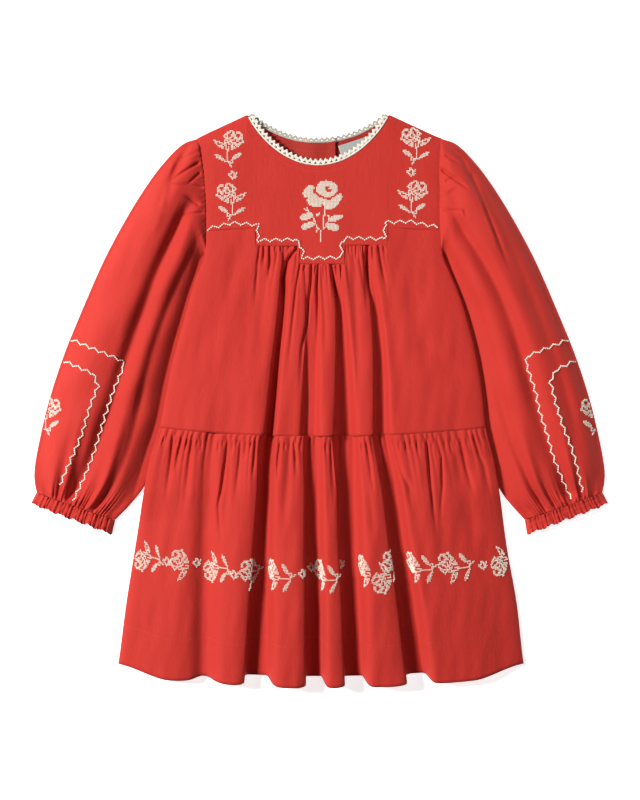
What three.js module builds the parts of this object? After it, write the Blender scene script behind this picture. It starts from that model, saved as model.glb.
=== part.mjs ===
// A girl's long-sleeved smock dress of red cotton, laid on its back on a flat surface.
// Millimetres. X runs to the viewer's right, Y from hem to neck, Z up from the surface.
// Left and right in the names are the wearer's, so the right sleeve lies at -X.
// Each cloth piece is a wall with an outer face, an inner face and a rim all round.
import * as THREE from 'three';

// Driving dimensions
const CLOTH = 1.5; // wall of the cotton
const TRIM = 1.0; // wall of the lace and the label
const SEAM = 0.3; // gap between two pieces at a seam
const FOLD_EDGE = 2 * CLOTH + 0.6; // height of a tube's folded edge, two walls and a slit
const BACK_TOP = CLOTH; // the back panels lie flat on the surface
const NECK_HALF = 71; // half of the neck opening
const NECK_X = -1.3; // the neck's middle
const NECK_Y = 285.7; // the shoulder points at the neck
const NECK_DROP = 51.8; // depth of the front neckline
const BACK_NECK_DROP = 28.5; // depth of the back neckline
const LACE_BAND = 4.4; // plain foot of the lace
const LACE_WIDTH = 7; // lace to the tips of its picots
const PICOT_PITCH = 5.85;
const SHOULDER_Y = 262; // shoulder seam at the armhole
const BACK_YOKE_Y = 174; // lower edge of the back yoke
const WAIST_MID_X = 3;
const WAIST_Y = -36; // waist seam at its middle
const WAIST_RISE = 8.5; // and how much higher its ends are
const HEM_Y = -264; // hem at the side seams
const HEM_SAG = 12; // hem lower in the middle by this
const HEM_LOBE = 10; // and lower again on the front of each fold
const BUTTON_RADIUS = 5.5;
const BUTTON_THICK = 2;
const BUTTON_X = 7;
const PLACKET_HALF = 9; // half of the buttoned overlap in the back yoke

// Sides of the body from hem to shoulder: side seams below the underarm, armholes above.
const BODY_EDGES = [
  { y: -286, left: -205, right: 208 },
  { y: -264, left: -201.5, right: 204.5 },
  { y: -200, left: -193, right: 197 },
  { y: -150, left: -185, right: 188 },
  { y: -100, left: -177, right: 181 },
  { y: -60, left: -169.5, right: 174 },
  { y: -28, left: -160, right: 166 },
  { y: 0, left: -154.5, right: 163 },
  { y: 35, left: -147.5, right: 158 },
  { y: 70, left: -138, right: 150 },
  { y: 100, left: -130, right: 141 },
  { y: 125, left: -122, right: 131 },
  { y: 142, left: -115, right: 123.5 },
  { y: 157, left: -114, right: 121.5 },
  { y: 193, left: -113.6, right: 120.2 },
  { y: 220, left: -115, right: 119.8 },
  { y: 246, left: -119.2, right: 121 },
  { y: 264, left: -122.8, right: 122.6 },
];

// How the body lies: top of the front in the middle, top of the front's edge above the
// back's underside, and how far the sleeve tucked underneath lifts the side.
const BODY_LIE = [
  { y: -286, crown: 26, edge: 3.6, lift: 0 },
  { y: -200, crown: 26, edge: 3.6, lift: 0 },
  { y: -120, crown: 25, edge: 3.6, lift: 0 },
  { y: -92, crown: 24, edge: 3.6, lift: 5.6 },
  { y: -36, crown: 22, edge: 3.6, lift: 5.6 },
  { y: 60, crown: 18, edge: 3.6, lift: 5.6 },
  { y: 120, crown: 14.5, edge: 3.6, lift: 5.6 },
  { y: 145, crown: 13.5, edge: 4, lift: 5.6 },
  { y: 178, crown: 12.5, edge: 9, lift: 0 },
  { y: 235, crown: 11.5, edge: 9, lift: 0 },
  { y: 286, crown: 10, edge: 9, lift: 0 },
];
const LIFT_SHELF = 13; // the lifted strip along a side seam
const LIFT_SLOPE = 25; // and its slope down to the surface

// The yoke's stepped lower edge, which the bodice is gathered onto.
const YOKE_SEAM = [
  { x: -125, y: 167.8 },
  { x: -63.8, y: 171.8 },
  { x: -63.2, y: 153.6 },
  { x: -20.3, y: 153.6 },
  { x: -19.7, y: 135.6 },
  { x: 24.7, y: 135.6 },
  { x: 25.3, y: 154.2 },
  { x: 67.7, y: 154.8 },
  { x: 68.3, y: 172 },
  { x: 125, y: 168.8 },
];
const YOKE_MID = 2;

// Where cloth lines run: x at a panel's top edge and x at its foot.
const BODICE_LINES = [
  { top: -114, foot: -160 },
  { top: -62, foot: -98 },
  { top: -33, foot: -50 },
  { top: -9, foot: -9.5 },
  { top: 14, foot: 24.5 },
  { top: 46, foot: 61 },
  { top: 66, foot: 88 },
  { top: 121, foot: 166 },
];
const SKIRT_LINES = [
  { top: -160, foot: -201.5 },
  { top: -106, foot: -114 },
  { top: -50, foot: -61 },
  { top: -6, foot: -4.5 },
  { top: 26, foot: 35 },
  { top: 61.5, foot: 97 },
  { top: 166, foot: 204.5 },
];

// Folds, each a hollow between two standing lobes. x, half width and depth at the panel's
// top and foot. The cloth on the left rolls over the hollow by lip, and steep says how
// upright the hollow's sides are.
const BODICE_FOLDS = [
  { top: -33, foot: -50, wideTop: 3.6, wideFoot: 4.8, deepTop: 5, deepFoot: 14, lip: 1.6, steep: 6 },
  { top: -9, foot: -9.5, wideTop: 5, wideFoot: 8, deepTop: 0.5, deepFoot: 11, lip: 0.6, steep: 6 },
  { top: 14, foot: 24.5, wideTop: 2.8, wideFoot: 9.6, deepTop: 5, deepFoot: 16, lip: 1.8, steep: 6 },
  { top: 46, foot: 61, wideTop: 3.4, wideFoot: 7.4, deepTop: 5, deepFoot: 12, lip: 1.4, steep: 6 },
];
const SKIRT_FOLDS = [
  { top: -106, foot: -114, wideTop: 7.5, wideFoot: 11, deepTop: 4, deepFoot: 12, lip: 0, steep: 2.5 },
  { top: -50, foot: -61, wideTop: 6, wideFoot: 13, deepTop: 14.5, deepFoot: 19, lip: 2.8, steep: 6 },
  { top: -6, foot: -4.5, wideTop: 8, wideFoot: 9, deepTop: 11.5, deepFoot: 19.5, lip: 2.2, steep: 6 },
  { top: 26, foot: 35, wideTop: 11, wideFoot: 10.5, deepTop: 16.5, deepFoot: 19.5, lip: 2.6, steep: 6 },
  { top: 61.5, foot: 97, wideTop: 8, wideFoot: 11.5, deepTop: 12.5, deepFoot: 18, lip: 2.8, steep: 6 },
];
const FOLD_STATIONS = [-1.9, -1.35, -1.05, -0.75, -0.35, 0.35, 0.8, 1.25, 1.9];

// Sleeve sections from armhole (0) to cuff (12). Each runs from the sleeve's outer edge to
// its inner one, which is tucked under the body. The inner edge differs from side to side.
const SLEEVE = [
  { at: 0, outX: 122.8, outY: 262, inRight: 114.9, inLeft: 123.2, inY: 142, puff: 5.4, under: 0 },
  { at: 1, outX: 137, outY: 256.5, inRight: 115.5, inLeft: 123.5, inY: 135, puff: 11, under: 8 },
  { at: 2, outX: 153.5, outY: 240.5, inRight: 117, inLeft: 125, inY: 125, puff: 15, under: 13 },
  { at: 3, outX: 171, outY: 218, inRight: 119.5, inLeft: 128, inY: 111, puff: 17, under: 13 },
  { at: 4, outX: 193, outY: 183, inRight: 123, inLeft: 133, inY: 94, puff: 18, under: 13 },
  { at: 5, outX: 216, outY: 140, inRight: 128, inLeft: 139.5, inY: 71, puff: 18, under: 13 },
  { at: 6, outX: 238, outY: 90, inRight: 135, inLeft: 146, inY: 43, puff: 18, under: 13 },
  { at: 7, outX: 257, outY: 43, inRight: 142.5, inLeft: 151.5, inY: 10, puff: 18, under: 13 },
  { at: 8, outX: 271.5, outY: -2, inRight: 149, inLeft: 156, inY: -22, puff: 17, under: 13 },
  { at: 9, outX: 281, outY: -42, inRight: 160.5, inLeft: 165, inY: -56, puff: 16, under: 12 },
  { at: 10, outX: 285.5, outY: -68, inRight: 174.5, inLeft: 178, inY: -85, puff: 13, under: 7 },
  { at: 11, outX: 285.5, outY: -82, inRight: 189, inLeft: 191, inY: -104, puff: 9.5, under: 0 },
  { at: 12, outX: 283.5, outY: -92.5, inRight: 204.5, inLeft: 205.5, inY: -120, puff: 6.4, under: 0 },
];
const CUFF_FOOT = { outX: 289, outY: -103, inX: 208, inY: -134 };
const SLEEVE_SIDE_RUN = 38; // the puff rises over this from the outer edge
const EDGE_REACH = 3.2; // a folded edge is rounded over this

// Long hollows in the sleeves: place across the sleeve (0 outer, 1 inner) at sections 1.5,
// 6 and 12, with half width and depth in millimetres.
const SLEEVE_FOLDS = {
  right: [
    { cap: 0.5, elbow: 0.55, wrist: 0.45, wide: 9, deep: 8.5, lip: -2 },
    { cap: 0.8, elbow: 0.74, wrist: 0.78, wide: 6, deep: 4.5, lip: 0.8 },
  ],
  left: [
    { cap: 0.58, elbow: 0.5, wrist: 0.42, wide: 9, deep: 7.5, lip: 0.8 },
    { cap: 0.1, elbow: 0.22, wrist: 0.2, wide: 8, deep: 2.6, lip: 1.2 },
    { cap: 0.85, elbow: 0.78, wrist: 0.72, wide: 6, deep: 4.5, lip: 0.8 },
  ],
};

const clamp = (value, low, high) => Math.min(high, Math.max(low, value));
const mix = (a, b, share) => a + (b - a) * share;
const ease = (low, high, value) => {
  const share = clamp((value - low) / (high - low), 0, 1);
  return share * share * (3 - 2 * share);
};

// A smooth curve through one column of a table, as a function of another column.
function curve(table, by, name) {
  const xs = table.map((row) => row[by]);
  const ys = table.map((row) => row[name]);
  const slope = xs.slice(1).map((x, i) => (ys[i + 1] - ys[i]) / (x - xs[i]));
  const tangent = xs.map((x, i) => {
    if (i === 0) return slope[0];
    if (i === xs.length - 1) return slope[i - 1];
    const before = x - xs[i - 1];
    const after = xs[i + 1] - x;
    return (slope[i - 1] * after + slope[i] * before) / (before + after);
  });
  return (x) => {
    const at = clamp(x, xs[0], xs[xs.length - 1]);
    let i = 0;
    while (i < xs.length - 2 && at > xs[i + 1]) i += 1;
    const wide = xs[i + 1] - xs[i];
    const t = (at - xs[i]) / wide;
    const rise = t * t * (3 - 2 * t);
    return mix(ys[i], ys[i + 1], rise)
      + wide * (tangent[i] * t * (1 - t) * (1 - t) - tangent[i + 1] * t * t * (1 - t));
  };
}

// Straight lines between a table's rows.
function polyline(table, by, name) {
  return (x) => {
    let i = 0;
    while (i < table.length - 2 && x > table[i + 1][by]) i += 1;
    const [a, b] = [table[i], table[i + 1]];
    return mix(a[name], b[name], clamp((x - a[by]) / (b[by] - a[by]), 0, 1));
  };
}

const bodyLeft = curve(BODY_EDGES, 'y', 'left');
const bodyRight = curve(BODY_EDGES, 'y', 'right');
const crown = curve(BODY_LIE, 'y', 'crown');
const [lift, edgeTop] = ['lift', 'edge'].map((name) => polyline(BODY_LIE, 'y', name));
const waistY = (x) => WAIST_Y + WAIST_RISE * Math.min(1, ((x - WAIST_MID_X) / 163) ** 2);
const hemBase = (x) => HEM_Y - HEM_SAG * (1 - Math.min(1, (x / 203) ** 2));
const neckY = (x, drop, power) => {
  const across = clamp((x - NECK_X) / NECK_HALF, -1, 1);
  return NECK_Y - drop * (1 - across * across) ** power;
};
const shoulderY = (x) => mix(NECK_Y, SHOULDER_Y, clamp((Math.abs(x - NECK_X) - NECK_HALF) / 51, 0, 1));
const frontNeckY = (x) => neckY(x, NECK_DROP, 0.82);
const yokeTopY = (x) => (Math.abs(x - NECK_X) < NECK_HALF ? frontNeckY(x) : shoulderY(x));

// Height of the back panels' underside: flat, but lifted over the tucked sleeves.
function backLift(x, y) {
  const inward = Math.min(x - bodyLeft(y), bodyRight(y) - x);
  return lift(y) * (1 - ease(LIFT_SHELF, LIFT_SHELF + LIFT_SLOPE, inward));
}

// Top of the body's front before folds: low at the sides, crowned in the middle.
function frontHeight(x, y) {
  const [left, right] = [bodyLeft(y), bodyRight(y)];
  const across = clamp((2 * x - left - right) / (right - left), -1, 1);
  const inward = (1 - Math.abs(across)) * (right - left) / 2;
  const edge = lift(y) + edgeTop(y);
  const rolled = Math.min(2.4, 0.3 * (crown(y) - edge)) * (1 - Math.exp(-inward / 4));
  return edge + rolled + (crown(y) - edge - rolled) * (1 - Math.abs(across) ** 2.3);
}

// The front yoke comes down to the back yoke along the shoulder seams.
function yokeHeight(x, y) {
  const below = Math.max(0, shoulderY(x) - y);
  const seam = BACK_TOP + SEAM + CLOTH + 0.3;
  return mix(seam, frontHeight(x, y), 1 - Math.exp(-below / 14));
}

// Depth of a fold across its width, from 0 at the lobes to 1 in the hollow.
const hollow = (t, steep) => 1 / (1 + Math.abs(t) ** steep);
// Sideways roll of the lobe on a fold's left, out above and in below.
const roll = (q) => -2.33 * q * Math.exp(-q * q);

// Uneven gathers along a seam, at about this many millimetres each.
const gatherWave = (x, pitch) =>
  Math.cos(2 * Math.PI * (x / pitch + 0.3 * Math.sin(x * 0.11 + 1.3) + 0.16 * Math.sin(x * 0.29)));
const gatherReach = (x, reach) => reach * (0.65 + 0.75 * Math.abs(Math.sin(x * 0.19 + 0.7)));

// A front panel that hangs in folds. Its points are found from a place along its top edge
// and a share of the way down. Begin is the part of a fold's depth that it has at the top.
function foldedPanel({ lines, folds, begin, topY, footY, pitch, gathers }) {
  const foot = polyline(lines, 'top', 'foot');
  const [leftTop, rightTop] = [lines[0].top, lines[lines.length - 1].top];
  const point = (top, share, rippled) => {
    const straight = mix(top, foot(top), share);
    const inFold = folds.map((fold) => {
      const wide = mix(fold.wideTop, fold.wideFoot, share);
      const t = (straight - mix(fold.top, fold.foot, share)) / wide;
      return { t, deep: mix(fold.deepTop, fold.deepFoot, share) * hollow(t, fold.steep), lip: fold.lip };
    });
    const depth = inFold.reduce((sum, fold) => sum + fold.deep, 0);
    const y = mix(topY(top), footY(foot(top), depth), share);
    const [low, high] = [mix(leftTop, foot(leftTop), share), mix(rightTop, foot(rightTop), share)];
    const across = (straight - low) / (high - low);
    const x = mix(straight, mix(bodyLeft(y), bodyRight(y), across), ease(0, 0.02, share));
    const over = inFold.reduce((sum, { t, lip }) => sum + lip * roll((t + 1) / 0.35), 0);
    const grown = ease(0, 0.25, share);
    const down = share * Math.abs(topY(top) - footY(foot(top), 0));
    const size = rippled ? gathers(top, down) : 0;
    const z = frontHeight(x, y) - depth * mix(begin, 1, grown) + size * gatherWave(top, pitch);
    return new THREE.Vector3(x + over * grown, y, z);
  };
  return { point, leftTop, rightTop, folds, lines };
}

// Places across a panel's top edge: its ends, its folds' stations and even steps between.
function stations(panel, share, extra, step) {
  const places = [panel.leftTop, panel.leftTop + 2, panel.leftTop + 6];
  for (const fold of panel.folds) {
    const wide = mix(fold.wideTop, fold.wideFoot, share) * 0.8;
    places.push(...FOLD_STATIONS.map((t) => fold.top + t * wide));
  }
  places.push(panel.rightTop - 6, panel.rightTop - 2, panel.rightTop);
  const clear = places.filter((x) => extra.every((corner) => Math.abs(x - corner) > 1));
  const sorted = [...clear, ...extra].sort((a, b) => a - b).filter((x, i, all) => i === 0 || x - all[i - 1] > 0.5);
  return sorted.flatMap((x, i) => {
    if (i === sorted.length - 1) return [x];
    const fine = typeof step === 'function' ? step((x + sorted[i + 1]) / 2) : step;
    const parts = Math.max(1, Math.round((sorted[i + 1] - x) / fine));
    return Array.from({ length: parts }, (_, j) => mix(x, sorted[i + 1], j / parts));
  });
}

// Triangles between two neighbouring rows, whose points may differ in number.
function bridge(triangles, a, b, closed) {
  const [la, lb] = [a.length, b.length];
  const place = (row, i) => (i < row.length ? row[i].place : row[0].place + 1);
  const [lastA, lastB] = closed ? [la, lb] : [la - 1, lb - 1];
  let [i, j] = [0, 0];
  while (i < lastA || j < lastB) {
    const stepA = j >= lastB || (i < lastA && place(a, i + 1) <= place(b, j + 1) + 1e-9);
    if (stepA) {
      triangles.push([a[i % la].index, a[(i + 1) % la].index, b[j % lb].index]);
      i += 1;
    } else {
      triangles.push([a[i % la].index, b[(j + 1) % lb].index, b[j % lb].index]);
      j += 1;
    }
  }
}

// A closed solid from rows of outer and inner points: two faces and a rim round each edge.
function wall(name, material, rows, closed = false) {
  const [outer, inner, triangles] = [[], [], []];
  for (const row of rows) {
    for (const spot of row) {
      spot.index = outer.length;
      outer.push(spot.outer);
      inner.push(spot.inner);
    }
  }
  rows.slice(1).forEach((row, i) => bridge(triangles, rows[i], row, closed));
  const count = outer.length;
  const faces = [...triangles, ...triangles.map(([a, b, c]) => [a + count, c + count, b + count])];
  const edges = new Map();
  for (const [a, b, c] of triangles) {
    for (const [from, to] of [[a, b], [b, c], [c, a]]) edges.set(from * count + to, [from, to]);
  }
  for (const [from, to] of edges.values()) {
    if (!edges.has(to * count + from)) {
      faces.push([to, from, from + count], [to, from + count, to + count]);
    }
  }
  return solid(name, material, [...outer, ...inner], faces);
}

// A mesh from points and faces, turned so that its faces point outwards.
function solid(name, material, points, faces) {
  const volume = faces.reduce((sum, [a, b, c]) =>
    sum + points[a].dot(new THREE.Vector3().crossVectors(points[b], points[c])), 0);
  const geometry = new THREE.BufferGeometry();
  geometry.setAttribute('position', new THREE.Float32BufferAttribute(points.flatMap((p) => p.toArray()), 3));
  geometry.setIndex(faces.flatMap(([a, b, c]) => (volume > 0 ? [a, b, c] : [a, c, b])));
  geometry.computeVertexNormals();
  const mesh = new THREE.Mesh(geometry, material);
  mesh.name = name;
  return mesh;
}

// The upward normal of a surface given as a function of two numbers.
function normalOf(surface, u, v, du, dv) {
  const along = surface(u + du, v).sub(surface(u - du, v));
  const down = surface(u, v + dv).sub(surface(u, v - dv));
  const normal = new THREE.Vector3().crossVectors(along, down).normalize();
  return normal.z < 0 && Math.abs(normal.z) > 0.5 ? normal.negate() : normal;
}

// One row of a folded panel, with its inner face a cloth thickness behind.
function foldedRow(panel, share, places) {
  const smooth = (top, at) => panel.point(clamp(top, panel.leftTop, panel.rightTop), at, false);
  return places.map((top) => {
    const at = clamp(share, 0.004, 0.996);
    const normal = normalOf(smooth, top, at, 0.25, -0.004);
    if (share === 0 || share === 1) normal.setY(0).normalize();
    const outer = panel.point(top, share, true);
    return {
      place: (top - panel.leftTop) / (panel.rightTop - panel.leftTop),
      outer,
      inner: outer.clone().addScaledVector(normal, -CLOTH),
    };
  });
}

// A wall whose outer face is a height over the plan and whose inner face is straight below.
function heightRow(places, y, height, thick) {
  return places.map(({ x, place }) => {
    const at = typeof y === 'function' ? y(x) : y;
    const z = height(x, at);
    return { place, outer: new THREE.Vector3(x, at, z), inner: new THREE.Vector3(x, at, z - thick) };
  });
}

const fabric = (color) => new THREE.MeshStandardMaterial({ color, roughness: 0.85, metalness: 0 });
const RED = fabric(0xcf4237);
const ECRU = fabric(0xe9dfcd);
const LABEL_WHITE = fabric(0xe6e8e4);
const BUTTON_RED = new THREE.MeshStandardMaterial({ color: 0xb83a30, roughness: 0.4, metalness: 0 });

const dress = new THREE.Group();
const SPREAD = (count) => Array.from({ length: count + 1 }, (_, i) => i / count);

// Points along a neckline, evenly turned from its right end (0) to its left one (count).
function neckPoints(lineY, from, to, count = 16) {
  return Array.from({ length: to - from + 1 }, (_, i) => {
    const x = NECK_X - NECK_HALF * Math.cos(((from + i) / count) * Math.PI);
    return new THREE.Vector2(x, lineY(x));
  });
}

// Front yoke, from the shoulder seams and neckline down to the stepped seam.
function frontYoke() {
  const seamY = polyline(YOKE_SEAM, 'x', 'y');
  const turns = neckPoints((x) => yokeTopY(x), 0, 16).map((spot) => spot.x);
  const xs = [-112, -97, -84, ...YOKE_SEAM.slice(1, -1).map((row) => row.x), ...turns, 84, 97, 110]
    .sort((a, b) => a - b)
    .filter((x, i, all) => i === 0 || x - all[i - 1] > 0.4);
  const ends = [SHOULDER_Y, seamY(-114) + SEAM / 2, seamY(121) + SEAM / 2];
  const rows = [0, 0.05, 0.16, 0.38, 0.68, 1].map((share) => {
    const [leftY, rightY] = [mix(ends[0], ends[1], share), mix(ends[0], ends[2], share)];
    const inside = xs.map((x, i) => {
      const y = mix(yokeTopY(x), seamY(x) + SEAM / 2, share);
      const z = yokeHeight(x, y);
      return { place: (i + 1) / (xs.length + 1), x, y, z };
    });
    const spots = [
      { place: 0, x: bodyLeft(leftY), y: leftY, z: yokeHeight(bodyLeft(leftY), leftY) },
      ...inside,
      { place: 1, x: bodyRight(rightY), y: rightY, z: yokeHeight(bodyRight(rightY), rightY) },
    ];
    return spots.map(({ place, x, y, z }) => ({
      place,
      outer: new THREE.Vector3(x, y, z),
      inner: new THREE.Vector3(x, y, z - CLOTH),
    }));
  });
  return wall('yoke_front', RED, rows);
}

// Height of the back yoke's underside where the buttons and the other half lift it.
const buttonLift = BUTTON_THICK + SEAM + 0.2;
function placketHeight(x, y, low, slopeFrom, slopeTo) {
  const along = ease(BACK_YOKE_Y + 2, BACK_YOKE_Y + 14, y);
  return mix(0, low, along) * (1 - ease(slopeFrom, slopeTo, Math.abs(x)));
}
const underLayer = (x, y) => placketHeight(x - BUTTON_X, y, buttonLift, PLACKET_HALF + 1, 38);
const overLayer = (x, y) => {
  const resting = (CLOTH + SEAM) * (1 - ease(PLACKET_HALF + 1, 34, Math.abs(x - BUTTON_X)));
  return underLayer(x, y) + resting;
};
const backNeckY = (x) => neckY(x, BACK_NECK_DROP, 0.9);
const backYokeY = (x) => (Math.abs(x - NECK_X) < NECK_HALF ? backNeckY(x) : shoulderY(x));
const PLACKET_EDGE = 16; // the right half ends here, on top of the left one
const neckTo = (edge) => new THREE.Vector2(edge, backNeckY(edge));
const rightBackLine = [...neckPoints(backNeckY, 1, 9), neckTo(PLACKET_EDGE)];
const leftBackLine = [neckTo(PLACKET_EDGE + 0.6), ...neckPoints(backNeckY, 10, 15)];

// One half of the back yoke. The wearer's right half lies over the left one, seen inside.
function backYoke(name, hand, xs, under) {
  const edge = hand === 'right' ? bodyLeft : bodyRight;
  const rows = [0, 0.12, 0.35, 0.6, 0.82, 0.9, 1].map((share) => {
    const spots = xs.map((x, i) => {
      const y = mix(backYokeY(x), BACK_YOKE_Y + SEAM / 2, share);
      return { x, y, place: i / xs.length };
    });
    const y = mix(SHOULDER_Y, BACK_YOKE_Y + SEAM / 2, share);
    spots.push({ x: edge(y), y, place: 1 });
    return spots.map(({ x, y: at, place }) => {
      const z = under(x, at);
      return { place, outer: new THREE.Vector3(x, at, z + CLOTH), inner: new THREE.Vector3(x, at, z) };
    });
  });
  return wall(name, RED, rows);
}

// Back bodice and back skirt, flat on the surface.
function backPanel(name, topY, footY, shares, count) {
  const rows = shares.map((share) => SPREAD(count).map((across) => {
    const edge = mix(topY(0), footY(0), share);
    let x = mix(bodyLeft(edge), bodyRight(edge), across);
    const y = mix(topY(x), footY(x), share);
    x = mix(bodyLeft(y), bodyRight(y), across);
    const z = backLift(x, y);
    return { place: across, outer: new THREE.Vector3(x, y, z + CLOTH), inner: new THREE.Vector3(x, y, z) };
  }));
  return wall(name, RED, rows);
}

// Bodice front, gathered under the yoke's three steps and smooth at the waist seam.
const bodiceSeam = YOKE_SEAM.map(({ x, y }) => ({ x: x + Math.sign(x - YOKE_MID) * 0.5, y: y - SEAM }));
const bodiceTopY = polyline(bodiceSeam, 'x', 'y');
const bodicePanel = foldedPanel({
  lines: BODICE_LINES,
  folds: BODICE_FOLDS,
  begin: 0.35,
  topY: (x) => bodiceTopY(x),
  footY: (x) => waistY(x) + SEAM / 2,
  pitch: 5.6,
  gathers: (x, down) => {
    const within = ease(66, 60, Math.abs(x - YOKE_MID));
    return 1.15 * within * ease(-2, 5, down) * Math.exp(-down / gatherReach(x, 30));
  },
});

// Skirt front, gathered onto the waist seam and hanging in five deep folds.
const skirtPanel = foldedPanel({
  lines: SKIRT_LINES,
  folds: SKIRT_FOLDS,
  begin: 0.95,
  topY: (x) => waistY(x) - SEAM / 2,
  footY: (x, depth) => {
    const away = ease(0, 55, Math.min(x + 201.5, 204.5 - x));
    return hemBase(x) - HEM_LOBE * away * (1 - clamp(depth / 18, 0, 1));
  },
  pitch: 7,
  gathers: (x, down) => 1.3 * ease(-4, 6, down) * Math.exp(-down / gatherReach(x, 26)),
});

function frontPanels() {
  const corners = bodiceSeam.slice(1, -1).map((row) => row.x);
  const gathered = (x) => (Math.abs(x - YOKE_MID) < 66 ? 1.9 : 12);
  const bodiceRows = [
    [0, gathered], [0.03, gathered], [0.09, gathered], [0.2, gathered], [0.36, 12], [0.58, 13], [0.8, 13], [1, 13],
  ];
  const skirtRows = [
    [0, 2.35], [0.03, 2.35], [0.08, 2.35], [0.17, 3.5], [0.3, 14], [0.47, 14], [0.65, 14], [0.83, 14], [1, 14],
  ];
  const build = (name, panel, rows, extra) => wall(
    name,
    RED,
    rows.map(([share, step]) => foldedRow(panel, share, stations(panel, Math.max(share, 0.2), extra, step))),
  );
  return [
    build('bodice_front', bodicePanel, bodiceRows, corners),
    build('skirt_front', skirtPanel, skirtRows, []),
  ];
}

// Rise of a tube's top wall from its folded edge.
const rise = (q) => 1 - (1 - clamp(q, 0, 1)) ** 2.2;

// Sleeve: a puffed tube, flat underneath, gathered at the cap and above the cuff.
function sleeveShape(hand) {
  const sign = hand === 'right' ? -1 : 1;
  const read = (name) => curve(SLEEVE, 'at', name);
  const [outX, outY, inY, puff, under] = ['outX', 'outY', 'inY', 'puff', 'under'].map(read);
  const inX = read(hand === 'right' ? 'inRight' : 'inLeft');
  const armhole = (y) => 0.3 + SEAM + (hand === 'right' ? -bodyLeft(y) : bodyRight(y));
  const length = (at) => Math.hypot(outX(at) - inX(at), outY(at) - inY(at));
  const plan = (at, across) => {
    const y = mix(outY(at), inY(at), across);
    const bow = armhole(mix(SHOULDER_Y, inY(0), across)) - mix(outX(0), inX(0), across);
    return { x: mix(outX(at), inX(at), across) + bow * Math.max(0, 1 - at / 1.5), y };
  };
  const height = (at, across, rippled) => {
    const long = length(at);
    const outward = across * long - EDGE_REACH * 0.5;
    const inward = (1 - across) * long - under(at) - EDGE_REACH * 0.5;
    const run = mix(12, SLEEVE_SIDE_RUN, ease(0, 1.5, at));
    const full = rise(outward / run) * rise(inward / run);
    const grown = ease(0.6, 3, at) * (1 - ease(11, 12, at));
    const depth = SLEEVE_FOLDS[hand].reduce((sum, fold) => {
      const centre = at < 6 ? mix(fold.cap, fold.elbow, ease(1, 6, at)) : mix(fold.elbow, fold.wrist, ease(6, 12, at));
      return sum + fold.deep * grown * Math.exp(-((((across - centre) * long) / fold.wide) ** 2));
    }, 0);
    const capWave = Math.exp(-at / 1.1) * ease(0.86, 0.66, across) * ease(0, 0.06, across);
    const cap = 1.7 * capWave * Math.cos(2 * Math.PI * (across * 9.5 + 0.25 * Math.sin(across * 17)));
    const wristWave = ease(8.6, 11.6, at) * ease(0, 0.08, across) * ease(1, 0.92, across);
    const wrist = 1.5 * wristWave * Math.cos(2 * Math.PI * (across * 11 + 0.22 * Math.sin(across * 23)));
    const lying = FOLD_EDGE + puff(at) * full;
    return Math.max(FOLD_EDGE, lying - depth * full) + (rippled ? (cap + wrist) * Math.sqrt(full) : 0);
  };
  return { sign, plan, height, length };
}

// One ring of a tube lying on the surface: underside, outer edge, top, inner edge.
function ring(shape, at, topCount, bottomCount, thick) {
  const { sign, plan, height, length } = shape;
  const edge = EDGE_REACH / length(at);
  const top = (across, place, rippled) => {
    const { x, y } = plan(place, across);
    return new THREE.Vector3(sign * x, y, height(place, across, rippled));
  };
  const corner = (across, inward) => {
    const { x, y } = plan(at, across);
    const shifted = plan(at, across + inward * (thick / length(at)));
    return {
      outer: new THREE.Vector3(sign * x, y, FOLD_EDGE / 2),
      inner: new THREE.Vector3(sign * shifted.x, shifted.y, FOLD_EDGE / 2),
    };
  };
  const upper = SPREAD(topCount).map((share) => {
    const across = mix(edge, 1 - edge, share);
    const inside = clamp(at, 0.02, 11.98);
    let normal = normalOf((a, k) => top(a, k, false), across, inside, 0.006, 0.02);
    if (normal.z < 0) normal.negate();
    if (at === 0 || at === 12) {
      const seam = top(across + 0.006, at, false).sub(top(across - 0.006, at, false)).normalize();
      normal = new THREE.Vector3(0, 0, 1).addScaledVector(seam, -seam.z).normalize();
    }
    const outer = top(across, at, true);
    return { outer, inner: outer.clone().addScaledVector(normal, -thick) };
  });
  const lower = SPREAD(bottomCount).map((share) => {
    const { x, y } = plan(at, mix(1 - edge, edge, share));
    return { outer: new THREE.Vector3(sign * x, y, 0), inner: new THREE.Vector3(sign * x, y, thick) };
  });
  const spots = [corner(0, 1), ...upper, corner(1, -1), ...lower];
  const places = [0, ...SPREAD(topCount).map((s) => 0.02 + 0.5 * s), 0.55, ...SPREAD(bottomCount).map((s) => 0.6 + 0.38 * s)];
  return spots.map((spot, i) => ({ ...spot, place: places[i] }));
}

function sleeve(hand) {
  const shape = sleeveShape(hand);
  const rows = [
    [0, 26], [0.45, 26], [1, 25], [1.8, 20], [3, 13], [4.5, 12], [6, 12], [7.5, 12],
    [9, 15], [10, 22], [11, 32], [12, 32],
  ];
  return wall(`sleeve_${hand}`, RED, rows.map(([at, count]) => ring(shape, at, count, 5, CLOTH)), true);
}

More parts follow.
